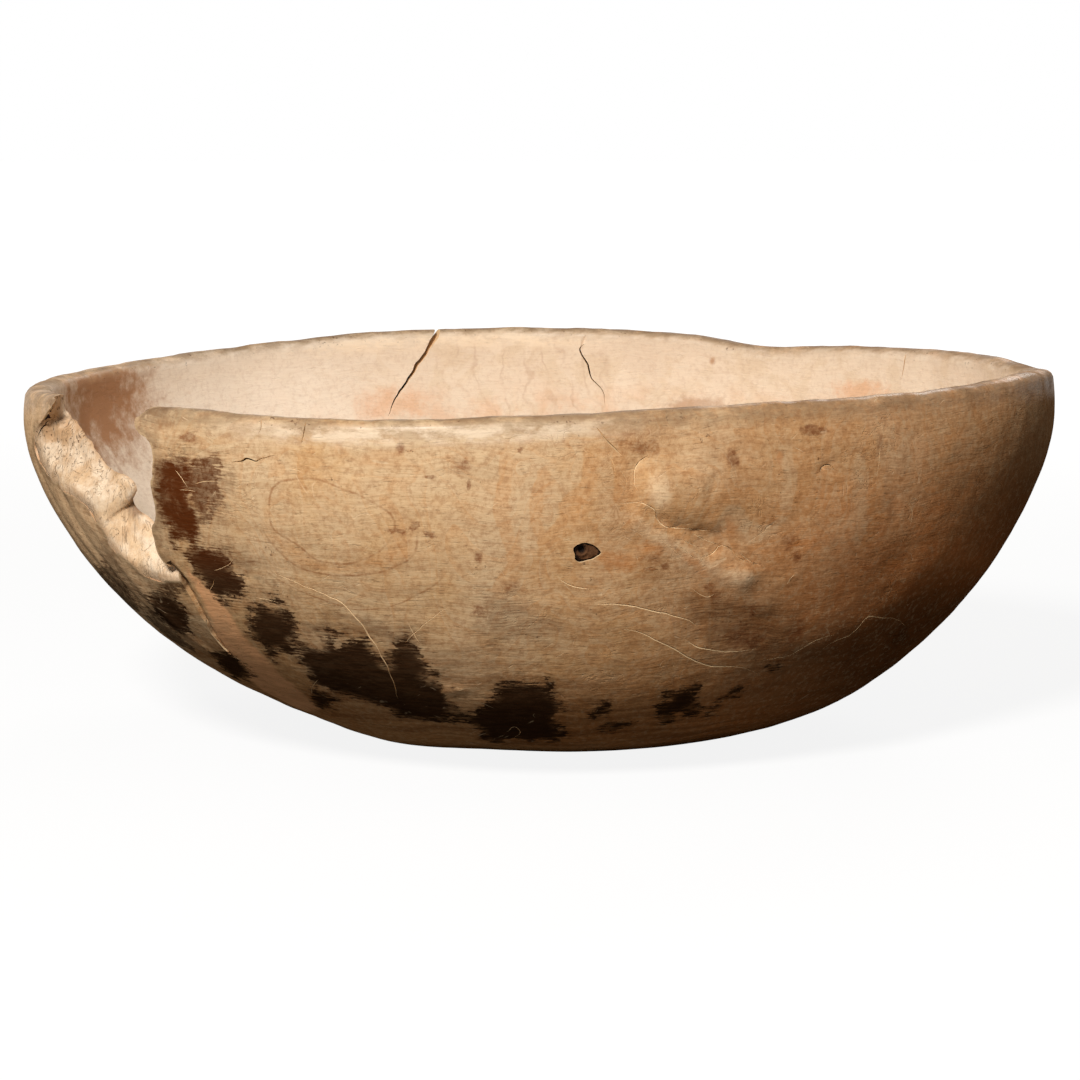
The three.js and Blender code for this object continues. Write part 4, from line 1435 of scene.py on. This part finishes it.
@dataclass(frozen=True)
class KnotFinish:
    """End grain of the dead knot: brown rings and a black hollow, its blackness painted shade of the pit."""

    brown: Colour = shade(98, 66, 42)
    ring: Colour = shade(74, 44, 28)
    hollow: Colour = shade(22, 14, 10)
    edge: Colour = shade(34, 20, 13)

    def build(self, bowl: "CarvedBowl") -> bpy.types.Material:
        """Makes the material.

        Args:
            bowl: the bowl that the knot sits in.

        Returns:
            The material.
        """
        wood = Surface("knot wood")
        knot = bowl.knot
        centre = bowl.spot(knot.angle, knot.height)
        drift = (wood.noise(2.4) - 0.5) * 0.5 + wood.near(tuple(centre), (4.9, 60, 3.5))
        paint = Paint(wood.net, (drift * 4).folded().step(0.18, 0, 0, 0.3), self.brown, self.ring)
        paint.over(wood.noise(1.2, 4, 0.7).step(0.45, 0.65, 0, 0.7), self.ring)
        paint.over(drift.step(0.8, 1.02), self.edge)
        # Painted shade: the pit is painted near black.
        pit = centre + (knot.pit_at[0], 0, knot.pit_at[1])
        near = (wood.noise(1.8) - 0.5) * 3 + wood.near(tuple(pit), (1, 20, 1))
        paint.over(near.step(2.6, 1), self.hollow)
        return wood.finish(wood.noise(0.9), 0.4, Base_Color=paint.colour, Roughness=wood.noise(1.5) * 0.25 + 0.6,
                           Specular_IOR_Level=DRY)


@dataclass
class CarvedBowl:
    """The bowl itself, with its break, cracks and the knot's socket."""

    form: BowlForm = field(default_factory=BowlForm)
    broken: BrokenWall = field(default_factory=BrokenWall)
    knot: Knot = field(default_factory=Knot)
    marks: Marks = field(default_factory=Marks)
    middle: tuple[float, float, float] = (0.33, -0.45, 0.0)
    around: int = 460
    outer_steps: int = 108
    lip_steps: int = 9
    inner_steps: int = 56
    disc_rings: int = 3
    front_angle: float = 265.0
    front_density: float = 0.42
    sharp_angle: float = 38.0
    scores: tuple[Path, ...] = (
        trace(244.2, 144, 245, 143.6, 245.8, 142.6), trace(230, 139.7, 230.8, 136.4, 231.5, 132.7),
        trace(230.2, 131.3, 231.5, 131.7, 232.5, 131.2), trace(232.5, 134.4, 234, 136.2, 235.8, 136.1),
        trace(231.8, 96.6, 234, 99.5, 235.5, 103.2), trace(229.5, 86.5, 230.5, 89.3, 231.2, 92.1),
        trace(236.2, 85.9, 237.5, 85.4, 238.8, 84.6), trace(231.2, 36.4, 234, 41.9, 236.5, 46.3),
        trace(254, 79.1, 254.2, 73.7, 254.5, 69.2), trace(259.8, 23, 261.5, 26.2, 261.8, 22.3, 260, 18.8),
        trace(255.8, 45.7, 257.5, 47.7, 259.5, 48.7), trace(276.5, 152.5, 277, 147.7, 277.2, 142.4),
        trace(296, 91.4, 296.5, 94.3, 297, 95.1), trace(310.2, 125.1, 312, 121, 312.8, 116.1, 312.8, 111.2),
        trace(307, 148.8, 306.8, 142.5, 306.5, 134.4), trace(277.8, 144.4, 278.2, 140.2, 278, 135.4),
        trace(284.5, 92.8, 286.2, 88.7, 287.2, 90), trace(252.8, 69.2, 256.5, 80.4, 259.2, 86.9),
        trace(283.5, 115.6, 285, 111.3, 286.8, 109.1), trace(284.8, 116.6, 286.2, 113.1, 288, 110.5),
        trace(282.8, 113.8, 284.2, 108.6, 285.8, 104.7), trace(289.8, 107.4, 291.2, 103.1, 292.8, 100.2),
        trace(281, 117.3, 282.2, 112, 283.5, 106.8),
    )
    score_size: tuple[float, float, float] = (0.13, 0.17, 0.3)
    splits: tuple[Split, ...] = (
        Split(trace(102.6, 172, 103.2, 167.7, 104, 163.7, 105.2, 156.3, 106.5, 149.4, 108.2, 140.9, 109.8, 133.9,
            111.6, 124), 1.6, 1.6, 26, 6, 0, True, 0.9, 0.6, Side.INNER, True),
        Split(trace(208, 166, 205.7, 158.4, 203.2, 153.2, 200.7, 146.7, 199.3, 141.8, 199.2, 135), 0.5, 0.5, 4, 3,
            0, True, 0.6, 0.3),
        Split(trace(224.4, 97, 225.2, 89, 225.3, 80, 224.4, 68, 223.3, 57, 223.2, 43), 5, 1.2, 1.9, 4, -0.15, True,
            0.7, 0.5, slot=Wood.SKIN),
        Split(trace(84.2, 160.5, 84.8, 157.8, 84.5, 154, 83.8, 149.3, 83.5, 143, 82.5, 138.9, 82, 135.6, 81.8, 128),
            0.42, 0.42, 2.2, 3, 0, False, 0.6, 0.4, Side.INNER),
        Split(trace(83.6, 168.5, 84, 164, 84.7, 158), 1.3, 1.3, 0.8, 3, 0, True, 0.4, 0.4, Side.INNER,
            slot=Wood.SKIN),
        Split(trace(36.4, 169, 36.9, 160, 37.6, 151), 0.3, 0.3, 1.2, 2, 0, True, 0.6, 0.3, Side.INNER),
        Split(trace(274, 87.4, 276.8, 87, 279, 85.2, 281.2, 82.5, 282.8, 80.6, 284.8, 77.1, 285.5, 74), 0.27, 0.5,
            0.8),
        Split(trace(276.8, 75.9, 279, 73.8, 281.2, 68.9, 283.8, 63.1, 286, 58.1, 287.8, 55.6, 290, 54.6,
            292.8, 52.6, 296.4, 46), 0.27, 0.5, 0.8),
        Split(trace(284, 69.8, 285.5, 66.1, 286.8, 64.2, 288.8, 62.4, 290.8, 61.7, 293.8, 62.1), 0.2, 0.36, 0.6),
        Split(trace(295, 55.4, 296.8, 56.1, 299, 56.8, 300.2, 59.3, 301.5, 62.9, 303.2, 65.1, 304.8, 66.2), 0.18,
            0.3, 0.5),
        Split(trace(303.5, 58.2, 305.2, 62.6, 307.5, 64.8, 309.5, 71.5, 312.2, 70.4, 317.2, 66.3, 321.5, 60.1),
            0.16, 0.26, 0.5),
        Split(trace(270.7, 99, 272.3, 95.5, 273.9, 94), 0.2, 0.32, 0.5),
        Split(trace(239.6, 99, 246, 89.6, 247.8, 83.2, 249, 67.6, 248.8, 52.8, 247, 39.2), 0.3, 0.36, 0.7, 1.6, 0.3,
            wander=0.7),
        Split(trace(237.6, 145, 238.7, 145.6, 239.3, 147.4, 240.3, 146.2, 241.2, 147.5, 243.2, 148.6), 0.45, 0.5,
            1.6, 1.6, 0, False, 0.5, 0.9),
        Split(trace(245.8, 168, 246.1, 161, 245.6, 154), 0.28, 0.28, 1.2, 1.6, 0, True, 0.6, 0.4),
        Split(trace(240.6, 168, 241.1, 161, 240.8, 157), 0.25, 0.25, 1, 1.6, 0, True, 0.6, 0.4),
        Split(trace(280.6, 150.4, 279.5, 147, 279, 142.6, 279, 137.9, 279.6, 134), 0.35, 0.2, 0.6, 1.6, -0.3),
        Split(trace(277.2, 130.7, 278.5, 130.8, 279.8, 130.4, 280.8, 127.7, 281, 124.1, 282, 120.1, 284, 118.8,
            285.8, 117.4, 288.4, 115.6), 0.2, 0.35, 0.5),
        Split(trace(286, 106, 287, 107.4, 287.8, 110, 288.8, 109.2, 290, 104.4, 291.8, 101.4), 0.25, 0.2, 0.4, 1.6,
            0.2),
        Split(trace(275.6, 162, 277, 155, 278.2, 149), 0.3, 0.4, 0.8),
        Split(trace(299.2, 139.2, 299.6, 141.4, 300.4, 142, 301.2, 139.6), 0.45, 0.3, 0.7),
        Split(trace(223.6, 96, 225.1, 91, 225.8, 87, 225.4, 77, 223.9, 66, 223.1, 56, 224, 50, 223.3, 42), 0.3, 0.3,
            1.2, 4.5, 0, False, 0.4, 0.5),
    )

    def spot(self, degrees: float, height: float) -> np.ndarray:
        """A place on the outer face, in millimetres from the part's origin."""
        return self.form.wall(Side.OUTER, degrees, height) - np.array(self.middle)

    def shares(self, side: Side, steps: int) -> np.ndarray:
        """Heights of the rows of a face as shares, so that the rows are evenly spaced."""
        fine = np.linspace(0, 1, 4000) ** 2
        floor = self.form.floor_of(side)
        shoulder = self.form.rim.at(self.front_angle) - self.form.lip_height
        line = self.form.wall(side, self.front_angle, floor + (shoulder - floor) * fine)
        length = np.concatenate([[0], np.cumsum(np.linalg.norm(np.diff(line, axis=0), axis=1))])
        return np.interp(np.linspace(0, length[-1], steps + 1), length, fine)

    def rows(self) -> tuple[list[np.ndarray], list[float], np.ndarray]:
        """The rings of the whole bowl, from under the foot up, over the lip and down inside.

        Returns:
            The rings, how far each is to the inner face from 0 to 1, and their angles.
        """
        form = self.form
        turn = np.arange(self.around) / self.around
        swing = self.front_density * np.sin(2 * np.pi * (turn - self.front_angle / 360)) / (2 * np.pi)
        degrees = np.mod(360 * (turn - swing), 360)
        shoulder = form.rim.at(degrees) - form.lip_height
        outer = [form.skin(Side.OUTER, degrees, shoulder * share)
                 for share in self.shares(Side.OUTER, self.outer_steps)]
        inner_floor = form.floor_thickness
        inner = [form.skin(Side.INNER, degrees, inner_floor + (shoulder - inner_floor) * share)
                 for share in self.shares(Side.INNER, self.inner_steps)[::-1]]
        lip = []
        for step in range(1, self.lip_steps):
            turned = math.pi * step / self.lip_steps
            across = math.copysign(abs(math.cos(turned)) ** form.lip_power, math.cos(turned))
            ring = inner[0] + (outer[-1] - inner[0]) * (0.5 + across / 2)
            lift = form.lip_height * math.sin(turned) ** form.lip_power
            wear = 0.5 * form.unevenness.layered(ring + 700.0, 26.0, 2) + 0.22 * form.unevenness.at(ring, 6.0) - 0.2
            ring[:, 2] += lift + wear * math.sin(turned)
            lip.append(ring)
        middle_under = np.array([form.foot_shift, 0, 0])
        middle_inside = np.array([form.foot_shift, 0, inner_floor])
        shares = [(k + 1) / (self.disc_rings + 1) for k in range(self.disc_rings)]
        under = [middle_under + (outer[0] - middle_under) * share for share in shares]
        inside = [middle_inside + (inner[-1] - middle_inside) * share for share in reversed(shares)]
        rings = [*under, *outer, *lip, *inner, *inside]
        sides = [0.0] * (len(under) + len(outer)) + [(k + 1) / self.lip_steps for k in range(len(lip))]
        sides += [1.0] * (len(inner) + len(inside))
        return rings, sides, degrees

    def build(self, effects: Effects) -> bpy.types.Object:
        """Builds, carves, measures and dresses the bowl.

        Args:
            effects: the shared groups.

        Returns:
            The bowl.
        """
        rings, sides, degrees = self.rows()
        inside_middle = np.array([self.form.foot_shift, 0, self.form.floor_thickness])
        centre = np.array(self.middle)
        shell = Shell(rings, np.array([self.form.foot_shift, 0, 0.0]), inside_middle)
        bowl = build_solid("carved_bowl", centre, [shell])
        mesh = bowl.data
        whole = BVHTree.FromPolygons([v.co[:] for v in mesh.vertices], [p.vertices[:] for p in mesh.polygons])
        hollow = self.form.wall(Side.INNER, 215.8, 118) - centre
        finishes = (SkinFinish().build(effects, self), TornFinish().build(effects, tuple(hollow)),
                    CrackFinish().build())
        scores = (Split(path, *self.score_size) for path in self.scores)
        cuts = [self.broken.shell(self.form), self.knot.socket(self.form)]
        cuts += [split.shell(self.form) for split in (*self.splits, *scores)]
        cutters = [build_solid("cutter", centre, shells) for shells in self.set_apart(cuts)]
        for carved in (bowl, *cutters):
            for finish in finishes:
                carved.data.materials.append(finish)
        self.carve(bowl, cutters)
        self.measure(bowl, whole, sides, degrees)
        return bowl

    def set_apart(self, cuts: list[Shell]) -> list[list[Shell]]:
        """Sorts shells into sets in which none touches another."""
        sets: list[list[Shell]] = []
        for cut in cuts:
            for shells in sets:
                if all(cut.apart(other) for other in shells):
                    shells.append(cut)
                    break
            else:
                sets.append([cut])
        return sets

    def carve(self, bowl: bpy.types.Object, cutters: list[bpy.types.Object]) -> None:
        """Takes the cutters' wood out of the bowl.

        Args:
            bowl: the bowl.
            cutters: closed meshes, which are used up.
        """
        for cutter in cutters:
            cut = bowl.modifiers.new(cutter.name, "BOOLEAN")
            cut.operation = "DIFFERENCE"
            cut.solver = "MANIFOLD"
            cut.object = cutter
        seen = bowl.evaluated_get(bpy.context.evaluated_depsgraph_get())
        carved = bpy.data.meshes.new_from_object(seen)
        bowl.modifiers.clear()
        whole = bowl.data
        bowl.data = carved
        carved.name = "carved_bowl"
        bpy.data.meshes.remove(whole)
        for cutter in cutters:
            mesh = cutter.data
            bpy.data.objects.remove(cutter)
            bpy.data.meshes.remove(mesh)
        carved.shade_smooth()
        carved.set_sharp_from_angle(angle=math.radians(self.sharp_angle))

    def measure(self, bowl: bpy.types.Object, whole: BVHTree, sides: list[float], degrees: np.ndarray) -> None:
        """Writes what the finishes read to the mesh.

        Args:
            bowl: the carved bowl.
            whole: the bowl before it was carved.
            sides: how far each ring is to the inner face.
            degrees: angles of the columns.
        """
        mesh = bowl.data
        rims = self.form.rim.at(degrees)
        count = len(mesh.vertices)
        values = {name: np.zeros(count, np.float32) for name in ("inner", "below_rim", "depth", "to_break")}
        torn = {v for p in mesh.polygons if p.material_index == Wood.TORN.value for v in p.vertices}
        tree = KDTree(max(len(torn), 1))
        for index in torn:
            tree.insert(mesh.vertices[index].co, index)
        tree.balance()
        quads = (len(sides) - 1) * self.around
        for index, vertex in enumerate(mesh.vertices):
            _, _, face, distance = whole.find_nearest(vertex.co)
            end = 0 if face < quads + self.around else len(sides) - 1
            level, column = divmod(face, self.around) if face < quads else (end, 0)
            values["inner"][index] = sides[level]
            values["below_rim"][index] = rims[column] - vertex.co.z * 1000
            values["depth"][index] = distance * 1000
            values["to_break"][index] = min(tree.find(vertex.co)[2] * 1000, 30.0)
        places = np.array([vertex.co[:] for vertex in mesh.vertices]) * 1000 + np.array(self.middle)
        outer = values["inner"] < 0.5
        marks = self.marks.measured(self.form, places[outer])
        marks["lift"] = self.form.relief(places[outer])
        for name, numbers in marks.items():
            values[name] = np.full(count, 0.0 if name == "lift" else self.marks.far, np.float32)
            values[name][outer] = numbers
        for name, numbers in values.items():
            mesh.attributes.new(name, "FLOAT", "POINT").data.foreach_set("value", numbers)


@dataclass
class DeadKnot:
    """The stub of the dead branch, loose in its socket."""

    bowl: CarvedBowl
    sharp_angle: float = 50.0

    def build(self) -> bpy.types.Object:
        """Builds and dresses the stub."""
        stub = build_solid("knot_stub", np.array(self.bowl.middle), [self.bowl.knot.stub(self.bowl.form)])
        stub.data.materials.append(KnotFinish().build(self.bowl))
        stub.data.shade_smooth()
        stub.data.set_sharp_from_angle(angle=math.radians(self.sharp_angle))
        return stub


@dataclass(frozen=True)
class Lamp:
    """A soft studio lamp that faces the bowl."""

    name: str
    place: tuple[float, float, float]
    size: float
    power: float
    colour: tuple[float, float, float] = (1.0, 0.97, 0.93)

    def build(self) -> None:
        """Makes the lamp."""
        light = bpy.data.lights.new(self.name, "AREA")
        light.shape = "DISK"
        light.size = self.size
        light.energy = self.power
        light.color = self.colour
        lamp = bpy.data.objects.new(self.name, light)
        lamp.location = self.place
        lamp.rotation_euler = (Vector((0, 0, 0.08)) - lamp.location).to_track_quat("-Z", "Y").to_euler()
        bpy.context.collection.objects.link(lamp)


@dataclass
class Studio:
    """Camera, lamps, world and floor."""

    distance: float = 1.6
    elevation: float = 8.8
    aim: float = 0.086
    lens: float = 114.13
    sensor: float = 36.0
    floor_half: float = 6.0
    floor_grey: float = 0.13
    world_level: float = 0.1
    world_colour: tuple[float, float, float] = (1.0, 0.94, 0.86)
    lamps: tuple[Lamp, ...] = (
        Lamp("key", (-0.66, -1.9, 1.55), 0.5, 66.0),
        Lamp("back", (0.9, 2.2, 1.5), 1.2, 22.0),
    )

    def build(self) -> None:
        """Makes the whole studio."""
        scene = bpy.context.scene
        camera = bpy.data.objects.new("camera", bpy.data.cameras.new("camera"))
        tilt = math.radians(self.elevation)
        camera.location = (0, -self.distance * math.cos(tilt), self.aim + self.distance * math.sin(tilt))
        camera.rotation_euler = (math.pi / 2 - tilt, 0, 0)
        camera.data.sensor_width = self.sensor
        camera.data.lens = self.lens
        camera.data.clip_end = 100
        scene.collection.objects.link(camera)
        scene.camera = camera
        scene.view_settings.view_transform = "Standard"
        for lamp in self.lamps:
            lamp.build()
        self.build_world(scene)
        self.build_floor()

    def shown(self, net: Net) -> bpy.types.NodeSocket:
        """1 for what the camera, a gloss or a glass sees, 0 for light on the object."""
        rays = net.node("LightPath").outputs
        return reduce(or_, (Value(net, rays[f"Is {kind} Ray"]) for kind in ("Camera", "Glossy", "Transmission")))

    def build_world(self, scene: bpy.types.Scene) -> None:
        """A white backdrop that lights the object softly."""
        world = bpy.data.worlds.new("studio")
        world.use_nodes = True
        net = Net(world.node_tree)
        shown = self.shown(net)
        colour = net.mix(shown, (*self.world_colour, 1.0), WHITE)
        level = shown * (1.0 - self.world_level) + self.world_level
        net.node("OutputWorld", None, Surface=net.out("Background", Color=colour, Strength=level))
        scene.world = world

    def build_floor(self) -> None:
        """A white floor that keeps the bowl's shadow."""
        half = self.floor_half
        mesh = bpy.data.meshes.new("floor")
        corners = [(-half, -half, 0), (half, -half, 0), (half, half, 0), (-half, half, 0)]
        mesh.from_pydata(corners, [], [(0, 1, 2, 3)])
        floor = bpy.data.objects.new("floor", mesh)
        bpy.context.collection.objects.link(floor)
        made = bpy.data.materials.new("floor")
        made.use_nodes = True
        net = Net(made.node_tree)
        away = Value(net, net.node("TexCoord").outputs["Object"]).length()
        both = net.node("AddShader")
        net.feed(both.inputs[0], net.out("BsdfDiffuse", Color=(*[self.floor_grey] * 3, 1)))
        glow = self.shown(net) * away.step(0.4, 2.2, 0.88, 1.0)
        net.feed(both.inputs[1], net.out("Emission", Color=WHITE, Strength=glow))
        net.node("OutputMaterial", None, Surface=Value(net, both.outputs[0]))
        mesh.materials.append(made)


def main() -> None:
    """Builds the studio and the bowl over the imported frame."""
    logging.basicConfig(level=logging.INFO, format="%(name)s: %(message)s")
    Studio().build()
    effects = Effects()
    bowl = CarvedBowl()
    for piece, node, slot in (
        (bowl.build(effects), "bowl", "bowl_wood"),
        (DeadKnot(bowl).build(), "dead_knot", "knot_wood"),
    ):
        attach(piece, "root")
        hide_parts(node)
        log.info("%s: %d faces, for %s", piece.name, len(piece.data.polygons), node)


if __name__ == "__main__":
    main()
